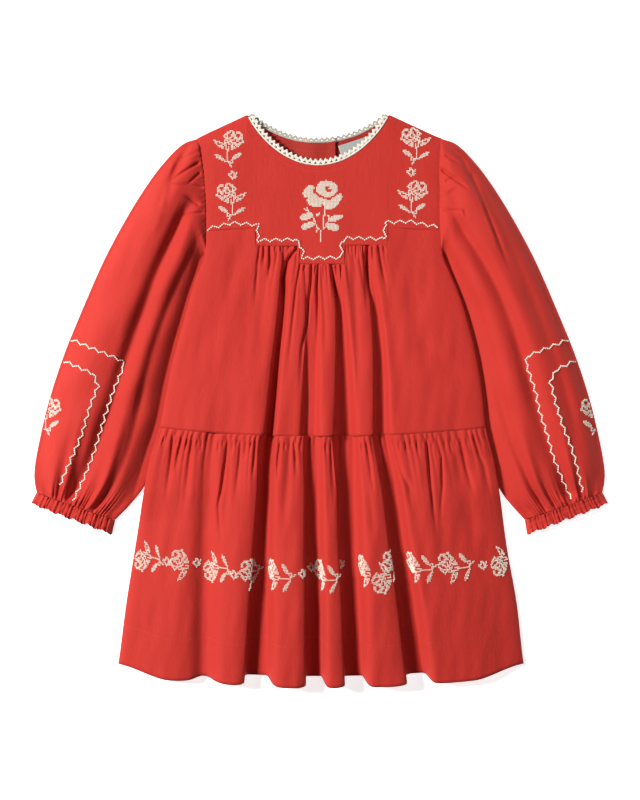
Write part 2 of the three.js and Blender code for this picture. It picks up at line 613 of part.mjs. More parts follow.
// Cuff: an elastic casing shirred into small ruffles, over a plain inside.
function cuff(hand) {
  const shape = sleeveShape(hand);
  const { sign } = shape;
  const [from, to] = [shape.plan(12, 0), shape.plan(12, 1)];
  const ruffles = 22;
  const rows = [0.03, 0.5, 1].map((down) => {
    const start = { x: mix(from.x, CUFF_FOOT.outX, down), y: mix(from.y, CUFF_FOOT.outY, down) };
    const end = { x: mix(to.x, CUFF_FOOT.inX, down), y: mix(to.y, CUFF_FOOT.inY, down) };
    const wide = Math.hypot(end.x - start.x, end.y - start.y);
    const puffed = 6.2 + 0.8 * Math.sin(Math.PI * down) - 0.6 * down;
    const size = 0.5 + 0.55 * down;
    const spot = (across, outerZ, innerZ, inset = 0) => {
      const [x, y] = [mix(start.x, end.x, across), mix(start.y, end.y, across)];
      const shift = inset / wide;
      const [ix, iy] = [mix(start.x, end.x, across + shift), mix(start.y, end.y, across + shift)];
      return { outer: new THREE.Vector3(sign * x, y, outerZ), inner: new THREE.Vector3(sign * ix, iy, innerZ) };
    };
    const edge = 2.6 / wide;
    const upper = SPREAD(ruffles * 2).map((share) => {
      const across = mix(edge, 1 - edge, share);
      const smooth = FOLD_EDGE + puffed * rise(across * wide / 30) * rise((1 - across) * wide / 30);
      const wave = 1 + Math.cos(2 * Math.PI * share * ruffles) * (0.8 + 0.2 * Math.sin(share * 31));
      return spot(across, smooth + size * wave, smooth - CLOTH + 0.1);
    });
    const lower = SPREAD(8).map((share) => spot(mix(1 - edge, edge, share), 0, CLOTH - 0.1));
    const spots = [spot(0, FOLD_EDGE / 2, FOLD_EDGE / 2, CLOTH), ...upper,
      spot(1, FOLD_EDGE / 2, FOLD_EDGE / 2, -CLOTH), ...lower];
    return spots.map((point, i) => ({ ...point, place: i / spots.length }));
  });
  return wall(`cuff_${hand}`, RED, rows, true);
}

// Lace sewn to a neckline, with a picot every few millimetres along its free edge. It
// follows the neckline's points between two of them, a seam's gap away.
function neckLace(name, line, height) {
  const lengths = [0];
  line.slice(1).forEach((p, i) => lengths.push(lengths[i] + p.distanceTo(line[i])));
  const total = lengths[lengths.length - 1];
  const at = (distance) => {
    let i = 0;
    while (i < line.length - 2 && distance > lengths[i + 1]) i += 1;
    const share = (distance - lengths[i]) / (lengths[i + 1] - lengths[i]);
    return line[i].clone().lerp(line[i + 1], share);
  };
  const picots = Math.round(total / PICOT_PITCH);
  const places = [...SPREAD(2 * picots), ...lengths.slice(1, -1).map((length) => length / total)]
    .sort((a, b) => a - b);
  const strip = (list, reach) => list.map((place, i) => {
    const here = at(place * total);
    const ahead = at(place * total + 1.5).sub(at(place * total - 1.5)).normalize();
    const wide = reach(i) + SEAM + 0.1;
    const x = here.x - ahead.y * wide;
    const y = Math.min(here.y + ahead.x * wide, NECK_Y + SEAM);
    const z = height(here.x, here.y);
    return { place, outer: new THREE.Vector3(x, y, z), inner: new THREE.Vector3(x, y, z - TRIM) };
  });
  const free = strip(SPREAD(2 * picots), (i) => (i % 2 ? LACE_WIDTH : LACE_BAND));
  return wall(name, ECRU, [strip(places, () => 0), free]);
}

// Woven label under the back neckline, laid on the wearer's left half of the back yoke.
function label() {
  const [wide, tall, turn] = [36, 19, 0.33];
  const [cornerX, cornerY] = [18.6, 254];
  const rows = SPREAD(2).map((down) => SPREAD(4).map((across) => {
    const x = cornerX + wide * across * Math.cos(turn) + tall * down * Math.sin(turn);
    const y = cornerY + wide * across * Math.sin(turn) - tall * down * Math.cos(turn);
    const z = underLayer(x, y) + CLOTH + SEAM + 0.15;
    return { place: across, outer: new THREE.Vector3(x, y, z + TRIM), inner: new THREE.Vector3(x, y, z) };
  }));
  return wall('label', LABEL_WHITE, rows);
}

// Back buttons, face down on the surface under the placket.
function button(number, y) {
  const profile = [[0, 0], [BUTTON_RADIUS - 0.6, 0], [BUTTON_RADIUS, 0.6], [BUTTON_RADIUS, 1.5],
    [BUTTON_RADIUS - 0.5, BUTTON_THICK], [0, BUTTON_THICK]];
  const geometry = new THREE.LatheGeometry(profile.map(([r, z]) => new THREE.Vector2(r, z)), 14);
  geometry.rotateX(Math.PI / 2);
  const mesh = new THREE.Mesh(geometry, BUTTON_RED);
  mesh.name = `button_${number}`;
  mesh.position.set(BUTTON_X, y, 0);
  return mesh;
}

dress.add(frontYoke());
dress.add(...frontPanels());
const neckTurns = neckPoints(backNeckY, 0, 16).map((spot) => spot.x);
dress.add(backYoke('yoke_back_right', 'right',
  [PLACKET_EDGE, 10, 4, ...neckTurns.slice(0, 9).reverse(), -90, -108], overLayer));
dress.add(backYoke('yoke_back_left', 'left', [PLACKET_EDGE - 18, 4, 10, PLACKET_EDGE + 0.6,
  ...neckTurns.slice(10), 88, 106], underLayer));
dress.add(backPanel('bodice_back', () => BACK_YOKE_Y - SEAM / 2, (x) => waistY(x) + SEAM / 2, [0, 0.08, 0.15, 0.3, 0.5, 0.75, 1], 14));
dress.add(backPanel('skirt_back', (x) => waistY(x) - SEAM / 2, (x) => hemBase(x) + 1, [0, 0.12, 0.24, 0.38, 0.55, 0.78, 1], 14));
for (const hand of ['right', 'left']) dress.add(sleeve(hand), cuff(hand));
dress.add(neckLace('neck_lace_front', neckPoints(frontNeckY, 1, 15), (x, y) => yokeHeight(x, y) - 0.1));
dress.add(neckLace('neck_lace_back_right', rightBackLine, (x, y) => overLayer(x, y) + CLOTH));
dress.add(neckLace('neck_lace_back_left', leftBackLine, (x, y) => underLayer(x, y) + CLOTH));
dress.add(label());
[248, 222, 196].forEach((y, i) => dress.add(button(i + 1, y)));

export default dress;
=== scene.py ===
# %% [markdown]
# # Embroidered dress
# A child's smock dress in red cotton, laid on its back and seen from straight above. Lengths
# are millimetres until a mesh is made, and the axes are those of the part: X to the viewer's
# right, Y from hem to neck, Z up. Left and right in the names are the wearer's.

import bpy
import numpy as np
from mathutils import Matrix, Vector


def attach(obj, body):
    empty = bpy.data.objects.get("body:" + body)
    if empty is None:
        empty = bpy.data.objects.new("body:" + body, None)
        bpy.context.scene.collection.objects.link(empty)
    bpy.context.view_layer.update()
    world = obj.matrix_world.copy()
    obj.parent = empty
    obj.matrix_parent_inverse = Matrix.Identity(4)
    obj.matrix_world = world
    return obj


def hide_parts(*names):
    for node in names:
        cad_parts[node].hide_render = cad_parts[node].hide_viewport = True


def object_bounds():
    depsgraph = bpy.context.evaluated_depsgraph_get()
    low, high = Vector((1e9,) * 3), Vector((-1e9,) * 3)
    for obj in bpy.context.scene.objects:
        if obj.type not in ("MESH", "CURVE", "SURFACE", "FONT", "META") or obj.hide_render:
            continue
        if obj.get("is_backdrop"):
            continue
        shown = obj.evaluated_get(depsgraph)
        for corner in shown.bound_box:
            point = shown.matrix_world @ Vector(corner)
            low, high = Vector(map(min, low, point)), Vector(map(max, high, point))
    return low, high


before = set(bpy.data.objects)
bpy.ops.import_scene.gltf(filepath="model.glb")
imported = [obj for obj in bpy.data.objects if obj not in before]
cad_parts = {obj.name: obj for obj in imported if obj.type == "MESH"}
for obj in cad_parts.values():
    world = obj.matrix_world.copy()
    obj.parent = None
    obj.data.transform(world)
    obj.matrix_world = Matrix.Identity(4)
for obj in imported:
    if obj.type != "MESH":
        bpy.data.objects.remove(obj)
bounds_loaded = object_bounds()
MM = 0.001
TAU = 2 * np.pi

# %% [markdown]
# ## Measures
# The same tables as the part's own source, so that the cloth lies on its solids. A fold is a
# hollow between two lobes: its place, half width and depth at the panel's top and foot.

# %% Tables
CLOTH = 1.5
SEAM = 0.3
FOLD_EDGE = 2 * CLOTH + 0.6
MID_WALL = CLOTH / 2
SIDE = {"right": -1, "left": 1}  # which way X runs from the body on each hand
NECK_HALF, NECK_X, NECK_Y = 71, -1.3, 285.7
NECK_DROP, BACK_NECK_DROP = 51.8, 28.5
SHOULDER_Y, BACK_YOKE_Y = 262, 174
WAIST_Y, WAIST_RISE, WAIST_MID_X = -36, 8.5, 3
HEM_Y, HEM_SAG, HEM_LOBE, FULL_FOLD = -264, 12, 10, 18
PLACKET_EDGE, PLACKET_HALF, BUTTON_X = 16, 9, 7
LACE_ENDS = (-71, 68.4)
BUTTON_THICK, BUTTON_YS = 2, (248, 222, 196)

BODY_EDGES = np.array([  # y, left, right
    (-286, -205, 208), (-264, -201.5, 204.5), (-200, -193, 197), (-150, -185, 188),
    (-100, -177, 181), (-60, -169.5, 174), (-28, -160, 166), (0, -154.5, 163),
    (35, -147.5, 158), (70, -138, 150), (100, -130, 141), (125, -122, 131),
    (142, -115, 123.5), (157, -114, 121.5), (193, -113.6, 120.2), (220, -115, 119.8),
    (246, -119.2, 121), (264, -122.8, 122.6),
])
BODY_LIE = np.array([  # y, crown, edge, lift
    (-286, 26, 3.6, 0), (-200, 26, 3.6, 0), (-120, 25, 3.6, 0), (-92, 24, 3.6, 5.6),
    (-36, 22, 3.6, 5.6), (60, 18, 3.6, 5.6), (120, 14.5, 3.6, 5.6), (145, 13.5, 4, 5.6),
    (178, 12.5, 9, 0), (235, 11.5, 9, 0), (286, 10, 9, 0),
])
YOKE_SEAM = np.array([  # x, y
    (-125, 167.8), (-63.8, 171.8), (-63.2, 153.6), (-20.3, 153.6), (-19.7, 135.6),
    (24.7, 135.6), (25.3, 154.2), (67.7, 154.8), (68.3, 172), (125, 168.8),
])
YOKE_MID = 2

# x at the panel's top and foot
BODICE_LINES = np.array([(-114, -160), (-62, -98), (-33, -50), (-9, -9.5), (14, 24.5),
                         (46, 61), (66, 88), (121, 166)])
SKIRT_LINES = np.array([(-160, -201.5), (-106, -114), (-50, -61), (-6, -4.5), (26, 35),
                        (61.5, 97), (166, 204.5)])
# top, foot, half width at top and foot, depth at top and foot, lip, steepness of the sides
BODICE_FOLDS = np.array([
    (-33, -50, 3.6, 4.8, 5, 14, 1.6, 6), (-9, -9.5, 5, 8, 0.5, 11, 0.6, 6),
    (14, 24.5, 2.8, 9.6, 5, 16, 1.8, 6), (46, 61, 3.4, 7.4, 5, 12, 1.4, 6),
])
SKIRT_FOLDS = np.array([
    (-106, -114, 7.5, 11, 4, 12, 0, 2.5), (-50, -61, 6, 13, 14.5, 19, 2.8, 6),
    (-6, -4.5, 8, 9, 11.5, 19.5, 2.2, 6), (26, 35, 11, 10.5, 16.5, 19.5, 2.6, 6),
    (61.5, 97, 8, 11.5, 12.5, 18, 2.8, 6),
])
# at, outX, outY, inRight, inLeft, inY, puff, under
SLEEVE = np.array([
    (0, 122.8, 262, 114.9, 123.2, 142, 5.4, 0), (1, 137, 256.5, 115.5, 123.5, 135, 11, 8),
    (2, 153.5, 240.5, 117, 125, 125, 15, 13), (3, 171, 218, 119.5, 128, 111, 17, 13),
    (4, 193, 183, 123, 133, 94, 18, 13), (5, 216, 140, 128, 139.5, 71, 18, 13),
    (6, 238, 90, 135, 146, 43, 18, 13), (7, 257, 43, 142.5, 151.5, 10, 18, 13),
    (8, 271.5, -2, 149, 156, -22, 17, 13), (9, 281, -42, 160.5, 165, -56, 16, 12),
    (10, 285.5, -68, 174.5, 178, -85, 13, 7), (11, 285.5, -82, 189, 191, -104, 9.5, 0),
    (12, 283.5, -92.5, 204.5, 205.5, -120, 6.4, 0),
])
CUFF_FOOT, CUFF_WIDE = (289, -103, 208, -134), 85
UNDERSIDE = (0.985, 0.015)  # across a tube, from where its underside begins to where it ends
SLEEVE_SIDE_RUN, EDGE_REACH = 38, 3.2
# place across the sleeve at cap, elbow and wrist, half width, depth, lip
SLEEVE_FOLDS = {
    "right": [(0.5, 0.55, 0.45, 9, 8.5, -2), (0.8, 0.74, 0.78, 6, 4.5, 0.8)],
    "left": [(0.58, 0.5, 0.42, 9, 7.5, 0.8), (0.1, 0.22, 0.2, 8, 2.6, 1.2),
             (0.85, 0.78, 0.72, 6, 4.5, 0.8)],
}

# %% Curves
def ease(low, high, value):
    """0 to 1 as value runs from low to high: t^2 (3 - 2 t)."""
    t = np.clip((value - low) / (high - low), 0, 1)
    return t * t * (3 - 2 * t)


def mix(a, b, t):
    return a + (b - a) * t


def spread(count):
    return np.linspace(0, 1, count)


def stepped(*spans):
    """Rising row of numbers from spans of first, last and count that share their ends."""
    return np.concatenate([[spans[0][0]], *(np.linspace(*span)[1:] for span in spans)])


def unit(vectors):
    return vectors / np.linalg.norm(vectors, axis=-1, keepdims=True)


def run_of(points):
    """Length along a line of points, from 0 at its start."""
    return np.concatenate([[0], np.cumsum(np.linalg.norm(np.diff(points, axis=0), axis=1))])


def along_line(s, run, points):
    """Points of a line at the lengths s."""
    return np.stack([np.interp(s, run, column) for column in points.T], -1)


def curve(xs, ys):
    """Cubic Hermite curve through the points, its tangents averaged from the slopes."""
    slope = np.diff(ys) / np.diff(xs)
    wide = np.diff(xs)
    inner = (slope[:-1] * wide[1:] + slope[1:] * wide[:-1]) / (wide[1:] + wide[:-1])
    tangent = np.concatenate([slope[:1], inner, slope[-1:]])

    def at(x):
        x = np.clip(x, xs[0], xs[-1])
        i = np.clip(np.searchsorted(xs, x, side="right") - 1, 0, len(xs) - 2)
        t = (x - xs[i]) / wide[i]
        bend = tangent[i] * t * (1 - t) ** 2 - tangent[i + 1] * t * t * (1 - t)
        return mix(ys[i], ys[i + 1], t * t * (3 - 2 * t)) + wide[i] * bend

    return at


def wander(x, y, reach, seed):
    """Smooth uneven field of about unit size, waves of length near reach in six directions."""
    draw = np.random.default_rng(seed)
    total = 0
    for _ in range(6):
        angle, phase = draw.uniform(0, TAU, 2)
        length = reach * draw.uniform(0.7, 1.5)
        total = total + np.sin(TAU * (x * np.cos(angle) + y * np.sin(angle)) / length + phase)
    return total / 2.4


body_left = curve(BODY_EDGES[:, 0], BODY_EDGES[:, 1])
body_right = curve(BODY_EDGES[:, 0], BODY_EDGES[:, 2])
crown = curve(BODY_LIE[:, 0], BODY_LIE[:, 1])


def edge_top(y):
    return np.interp(y, BODY_LIE[:, 0], BODY_LIE[:, 2])


def lift(y):
    return np.interp(y, BODY_LIE[:, 0], BODY_LIE[:, 3])


def waist_y(x):
    return WAIST_Y + WAIST_RISE * np.minimum(1, ((x - WAIST_MID_X) / 163) ** 2)


def hem_base(x):
    return HEM_Y - HEM_SAG * (1 - np.minimum(1, (x / 203) ** 2))


def neck_y(x, drop, power):
    across = np.clip((x - NECK_X) / NECK_HALF, -1, 1)
    return NECK_Y - drop * (1 - across * across) ** power


def shoulder_y(x):
    return mix(NECK_Y, SHOULDER_Y, np.clip((np.abs(x - NECK_X) - NECK_HALF) / 51, 0, 1))


def front_neck_y(x):
    return neck_y(x, NECK_DROP, 0.82)


def back_neck_y(x):
    return neck_y(x, BACK_NECK_DROP, 0.9)


def yoke_top_y(x, neck=front_neck_y):
    return np.where(np.abs(x - NECK_X) < NECK_HALF, neck(x), shoulder_y(x))


print("body width at the hem", float(body_right(HEM_Y) - body_left(HEM_Y)))

# %% [markdown]
# ## How the cloth lies
# The back is flat on the surface, lifted at the sides where the sleeves are tucked under it.
# The front rises from the side seams to a crown in the middle and drops into the folds.

# %% Heights
def back_lift(x, y):
    """Height of the back's underside, raised over the tucked sleeves."""
    inward = np.minimum(x - body_left(y), body_right(y) - x)
    return lift(y) * (1 - ease(13, 38, inward))


def front_height(x, y):
    """Top of the front before folds: edge + roll + (crown - edge) (1 - |a|^2.3)."""
    left, right = body_left(y), body_right(y)
    across = np.clip((2 * x - left - right) / (right - left), -1, 1)
    inward = (1 - np.abs(across)) * (right - left) / 2
    edge = lift(y) + edge_top(y)
    rolled = np.minimum(2.4, 0.3 * (crown(y) - edge)) * (1 - np.exp(-inward / 4))
    return edge + rolled + (crown(y) - edge - rolled) * (1 - np.abs(across) ** 2.3)


def yoke_height(x, y):
    """The front yoke comes down to the back yoke along the shoulder seams."""
    below = np.maximum(0, shoulder_y(x) - y)
    return mix(FOLD_EDGE, front_height(x, y), 1 - np.exp(-below / 14))


def under_layer(x, y):
    """Lift of the back yoke's lower half over the buttons."""
    along = ease(BACK_YOKE_Y + 2, BACK_YOKE_Y + 14, y)
    slope = 1 - ease(PLACKET_HALF + 1, 38, np.abs(x - BUTTON_X))
    return (BUTTON_THICK + SEAM + 0.2) * along * slope


def over_layer(x, y):
    return under_layer(x, y) + (CLOTH + SEAM) * (1 - ease(PLACKET_HALF + 1, 34, np.abs(x - BUTTON_X)))


def placket_layer(x, y):
    """The buttoned half, whose free edge stands up a little."""
    standing = ease(PLACKET_EDGE - 9, PLACKET_EDGE, x)
    return over_layer(x, y) + standing + 0.25 * ease(0, 4, x + 2 - PLACKET_EDGE)


def hollow(t, steep):
    return 1 / (1 + np.abs(t) ** steep)


def roll(q):
    return -2.33 * q * np.exp(-q * q)


def gather_wave(x, pitch):
    """Uneven pleats with round backs and narrow valleys: 2 |cos(p / 2)| - 1, softened."""
    phase = TAU * (x / pitch + 0.3 * np.sin(x * 0.11 + 1.3) + 0.16 * np.sin(x * 0.29))
    return 2 * np.sqrt(np.cos(phase / 2) ** 2 + 0.015) - 1


def gather_reach(x, reach):
    return reach * (0.65 + 0.75 * np.abs(np.sin(x * 0.19 + 0.7)))


def bodice_top_y(x):
    moved = YOKE_SEAM[:, 0] + np.sign(YOKE_SEAM[:, 0] - YOKE_MID) * 0.2
    return np.interp(x, moved, YOKE_SEAM[:, 1] + 0.4)


def bodice_gathers(x, down):
    within = ease(66, 60, np.abs(x - YOKE_MID))
    return 0.9 * within * ease(-2, 5, down) * np.exp(-down / gather_reach(x, 18))


def skirt_gathers(x, down):
    return 1.1 * ease(-4, 6, down) * np.exp(-down / gather_reach(x, 20))


def skirt_foot_y(x, depth):
    away = ease(0, 55, np.minimum(x + 201.5, 204.5 - x))
    return hem_base(x) - HEM_LOBE * away * (1 - np.clip(depth / FULL_FOLD, 0, 1))


# %% [markdown]
# ### Folded panels
# A point of a panel is found from its place along the top edge and its share of the way
# down. Creases are long soft hollows of the cloth itself, each a Gaussian across its line.

# %% Panels
def creases(x, y, rows):
    """Sum of depth exp(-(d/w)^2) along short lines: x0, y0, x1, y1, half width, depth."""
    total = 0
    for x0, y0, x1, y1, wide, deep in rows:
        along = np.array([x1 - x0, y1 - y0], float)
        length = np.hypot(*along)
        along /= length
        t = ((x - x0) * along[0] + (y - y0) * along[1]) / length
        aside = (x - x0) * along[1] - (y - y0) * along[0]
        fade = ease(-0.12, 0.12, t) * ease(1.15, 0.6, t)
        total = total + deep * fade * np.exp(-((aside / wide) ** 2))
    return total


def pleats(x, y, rows):
    """Sum of narrow valleys along lines that run down the cloth: each row is its half width,
    its depth, and x and y of its points from the seam down; exp(-(d/w)^2), fading at the foot."""
    total = 0
    for wide, deep, *line in rows:
        px, py = np.array(line, float).reshape(-1, 2).T
        height = py[0] - py[-1]
        t = (py[0] - y) / height
        lean = np.hypot(px[-1] - px[0], height) / height
        aside = (x - np.interp(-y, -py, px)) / lean
        size = wide * (0.75 + 0.6 * np.clip(t, 0, 1))
        shown = ease(-0.1, 0.05, t) * ease(1.12, 0.35, t)
        total = total + deep * shown * np.exp(-((aside / size) ** 2))
    return total


def make_panel(lines, folds, top_y, foot_y, pitch, gathers, rows, lines_down, begin):
    """Surface of a folded panel as a function of place along its top and share down, with the
    places of its ends.
    begin is the part of a fold's depth that it has at the top already."""
    left, right = lines[0, 0], lines[-1, 0]

    def surface(top, share):
        foot = np.interp(top, lines[:, 0], lines[:, 1])
        straight = mix(top, foot, share)
        depth, over = 0, 0
        for f_top, f_foot, w_top, w_foot, d_top, d_foot, lip, steep in folds:
            t = (straight - mix(f_top, f_foot, share)) / mix(w_top, w_foot, share)
            depth = depth + mix(d_top, d_foot, share) * hollow(t, steep)
            over = over + lip * roll((t + 1) / 0.35)
        y = mix(top_y(top), foot_y(foot, depth), share)
        low, high = mix(left, lines[0, 1], share), mix(right, lines[-1, 1], share)
        across = (straight - low) / (high - low)
        fitted = mix(body_left(y), body_right(y), across)
        x = mix(straight, fitted, ease(0, 0.02, share))
        grown = ease(0, 0.25, share)
        down = share * np.abs(top_y(top) - foot_y(foot, 0))
        z = front_height(x, y) - depth * mix(begin, 1, grown)
        z = z + gathers(top, down) * gather_wave(top, pitch) - creases(x, y, rows)
        z = z - pleats(x, y, lines_down)
        inner = np.minimum(across, 1 - across) * (high - low)
        soft = ease(0, 25, inner) * (1 - depth / 30)
        z = z + soft * (0.55 * wander(x, y * 0.45, 46, 3) + 0.22 * wander(x, y * 0.35, 17, 5))
        z = z - 0.35 * np.exp(-down / 0.7)
        return np.stack([x + over * grown, y, z], -1)

    return surface, left, right


BODICE_CREASES = [
    (-48, 140, -62, 60, 7, 1.6), (-55, 150, -88, 20, 9, 1.2), (64, 130, 84, -10, 8, 1.4),
    (88, 120, 116, 0, 9, 1.0), (-80, 150, -118, 30, 10, 1.3), (34, 125, 40, 10, 4, 1.6),
    (-36, 128, -34, 60, 3, 1.2), (4, 120, 6, 40, 4, 1.2), (100, 60, 140, 20, 8, 0.8),
]
SKIRT_CREASES = [
    (-150, -40, -168, -150, 8, 1.3), (-132, -38, -150, -190, 9, 1.4),
    (-90, -42, -96, -140, 5, 1.5),
    (-76, -40, -84, -110, 4, 1.3), (110, -38, 128, -190, 8, 1.2), (135, -36, 156, -150, 8, 1.5),
    (84, -40, 112, -210, 7, 1.6), (128, -62, 176, -78, 6, 1.1), (140, -52, 180, -60, 4, 0.8),
    (-30, -40, -36, -130, 4, 1.3), (44, -42, 54, -140, 4, 1.4), (8, -40, 10, -120, 3.5, 1.1),
]
# pleats under the yoke: half width, depth, then x and y from the seam down
BODICE_PLEATS = [
    (1.5, 2.0, -59, 155, -61, 140, -63, 118, -64, 96), (1.0, 2.0, -55.8, 153, -55.5, 136),
    (1.2, 3.4, -50, 154, -49.5, 140, -50, 120), (0.9, 1.4, -44, 154, -44.5, 146),
    (0.9, 1.8, -39, 154, -38, 146), (0.8, 1.2, -30, 153, -33, 148),
    (2.0, 5.2, -23, 151, -32, 139, -37, 121, -39, 97),
    (1.4, 2.0, -19.5, 134, -23, 112, -28, 62, -31, 35), (0.9, 1.6, -15, 134, -16, 127),
    (1.4, 3.2, -8, 134, -8.5, 118, -12.5, 78, -17.5, 52, -20, 10), (0.8, 1.4, -4, 134, -4.5, 124),
    (1.5, 4.2, -1.2, 134, -2.5, 113, -1.5, 90, -1.2, 50), (1.0, 1.6, 4, 134, 4.5, 118),
    (1.9, 4.4, 11.5, 134, 14.5, 113, 17, 92), (0.9, 1.6, 16.5, 134, 18, 124),
    (1.1, 2.4, 21, 134, 22, 113, 25, 96), (1.0, 1.8, 29, 153, 30, 143),
    (1.0, 2.0, 36.5, 153, 37, 140), (0.8, 1.2, 41, 153, 41.5, 146),
    (2.0, 4.4, 48, 153, 46.5, 130, 48, 90), (1.0, 1.8, 53, 153, 54, 138),
    (1.4, 2.6, 59, 153, 62, 136, 67, 112), (0.9, 1.2, 64, 153, 66.5, 145),
]
# the same under the waist seam
SKIRT_PLEATS = [
    (1.0, 1.8, -155, -37, -157, -48), (1.8, 2.8, -146.5, -38, -148, -60, -153, -100),
    (0.9, 1.4, -142, -38, -143, -47), (1.5, 2.6, -137.5, -38, -141, -55, -143.5, -72),
    (1.0, 1.8, -132, -39, -133, -50), (2.2, 2.2, -127, -39, -129, -60, -134, -104),
    (0.9, 1.4, -121.5, -40, -122, -48), (1.0, 1.6, -117, -40, -118, -52),
    (1.1, 1.8, -100, -41, -101, -54), (0.9, 1.4, -96, -41, -96, -48),
    (1.7, 3.6, -91.5, -41, -93.5, -60, -97.5, -90, -100.5, -105, -98.5, -142),
    (1.0, 1.6, -86, -41, -86.5, -53), (0.8, 1.4, -82.5, -41, -83, -47),
    (1.5, 2.8, -78.5, -42, -80, -64, -83, -94), (1.1, 2.2, -72.5, -42, -74, -58),
    (0.9, 1.4, -68, -42, -68, -49), (1.3, 2.2, -64, -42, -65, -62, -67, -80),
    (1.4, 2.4, -39, -43, -41, -57, -42, -82), (0.9, 1.6, -34.5, -43, -34.5, -52),
    (0.8, 1.4, -30, -43, -29.5, -49), (1.4, 2.4, -25.5, -43, -24, -57, -22, -78),
    (0.9, 1.4, -19.5, -43, -19.5, -52), (1.0, 1.8, 6, -43, 6.5, -55),
    (1.3, 2.4, 11, -43, 11.5, -70, 13, -104), (0.9, 1.6, 42, -43, 43, -52),
    (1.5, 2.6, 47, -43, 50, -62, 54, -96), (2.4, 2.8, 73.5, -42, 82.5, -74, 89.5, -88, 90.5, -106),
    (1.0, 1.6, 78.5, -42, 80.5, -52), (1.1, 1.8, 85, -42, 88, -56), (0.8, 1.4, 90, -41, 91, -48),
    (1.0, 1.8, 96, -41, 99, -58), (0.9, 1.4, 101.5, -41, 103, -50),
    (1.5, 3.6, 107, -41, 109.5, -74, 116, -130), (0.8, 1.4, 112, -41, 113, -49),
    (1.4, 2.8, 117, -40, 121.5, -56, 122.5, -86, 120, -124), (0.9, 1.4, 124, -40, 126, -50),
    (1.0, 1.8, 129, -40, 132.5, -56), (0.8, 1.2, 135, -40, 137, -48),
    (1.8, 2.6, 140.5, -40, 147, -70, 154, -96), (0.9, 1.4, 146, -39, 149, -50),
    (2.0, 2.2, 154, -38, 164, -66, 170, -98), (0.9, 1.2, 160, -37, 164, -47),
]
bodice_panel = make_panel(
    BODICE_LINES, BODICE_FOLDS, bodice_top_y, lambda x, depth: waist_y(x) - 0.2,
    5.6, bodice_gathers, BODICE_CREASES, BODICE_PLEATS, 0.35)
skirt_panel = make_panel(
    SKIRT_LINES, SKIRT_FOLDS, lambda x: waist_y(x) + 0.4, skirt_foot_y,
    7, skirt_gathers, SKIRT_CREASES, SKIRT_PLEATS, 0.95)
skirt_surface, SKIRT_L, SKIRT_R = skirt_panel


def even_places(surface, left, right, share, step):
    """Places along the top edge that are evenly spaced along the cloth at one share."""
    fine = np.linspace(left, right, 4000)
    points = surface(fine, np.full_like(fine, share))
    run = run_of(points)
    count = int(run[-1] / step)
    return np.interp(np.linspace(0, run[-1], count + 1), run, fine), run[-1]


for name, panel in {"bodice": bodice_panel, "skirt": skirt_panel}.items():
    print(name, "cloth across:", round(float(even_places(*panel, 0.95, 2)[1])), "mm")

# %% [markdown]
# ### Sleeves
# A sleeve is a puffed tube whose underside is flat. Its place runs from the armhole (0) to
# the cuff (12), and across from the outer folded edge (0) to the tucked inner one (1).

# %% Sleeves
def rise(q):
    return 1 - (1 - np.clip(q, 0, 1)) ** 2.2


sleeve_tables = {name: curve(SLEEVE[:, 0], SLEEVE[:, i + 1]) for i, name in enumerate(
    ["out_x", "out_y", "in_right", "in_left", "in_y", "puff", "under"])}


def sleeve_plan(hand, at, across):
    """Plan of the sleeve in mm, X outwards from the body whichever hand it is."""
    t = sleeve_tables
    in_x = t["in_" + hand](at)
    y = mix(t["out_y"](at), t["in_y"](at), across)
    seam_y = mix(SHOULDER_Y, t["in_y"](0), across)
    armhole = (-body_left(seam_y) if hand == "right" else body_right(seam_y)) - 0.8
    bow = armhole - mix(t["out_x"](0), t["in_" + hand](0), across)
    x = mix(t["out_x"](at), in_x, across) + bow * np.maximum(0, 1 - at / 1.5)
    return x, y, np.hypot(t["out_x"](at) - in_x, t["out_y"](at) - t["in_y"](at))


# creases of the sleeves: x0, y0, x1, y1, half width, depth (less than 0 is a ridge)
SLEEVE_CREASES = {
    "right": [
        (-131, 256, -152, 216, 3.0, 3.6), (-136, 248, -160, 190, 5.5, 2.6), (-124, 246, -142, 240, 1.2, 1.4),
        (-120, 237, -148, 219, 1.5, 3.2), (-119, 227, -131, 215, 1.2, 2.4),
        (-116, 212, -146, 216.5, 1.3, 2.8),
        (-120, 195, -134, 204, 1.6, 2.4), (-116, 187, -137, 184, 1.5, 2.2), (-124, 200, -140, 176, 6, 2.0),
        (-146, 236, -151, 218, 2.5, -1.4), (-151, 218, -158, 184, 3, -1.2), (-158, 184, -165, 163, 4, -0.8),
        (-137, 180, -151, 128, 7, 1.4), (-170, 200, -200, 110, 7, 1.2), (-224, 110, -246, 20, 7, 1.2),
        (-200, 60, -226, -40, 6, 0.6), (-250, 30, -262, -60, 6, 0.8), (-176, 10, -206, -70, 5, 1.0),
        (-190, 90, -212, 10, 5, -0.4)],
    "left": [
        (129, 252, 148, 236, 1.6, 1.8), (126, 244, 143, 234, 1.4, 2.2), (142, 244, 156, 210, 3.0, 3.0),
        (122, 230, 147, 211, 1.5, 3.4), (126, 218, 136, 222, 1.2, 1.6), (124, 189, 144, 188, 1.4, 1.8),
        (143, 189, 147, 182, 1.2, 1.8), (130, 208, 140, 190, 6, 1.8), (152, 226, 163, 196, 3, 2.6),
        (163, 196, 186, 138, 2.6, 2.4), (148, 230, 157, 206, 2, -1.0), (157, 206, 178, 150, 2.4, -1.0),
        (182, 150, 196, 110, 8, 0.8), (206, 120, 234, 40, 7, 0.5), (196, 60, 222, -30, 6, 0.8),
        (236, 40, 258, -50, 6, 0.6), (172, 20, 196, -60, 5, 0.9), (136, 170, 150, 110, 6, 1.4)],
}


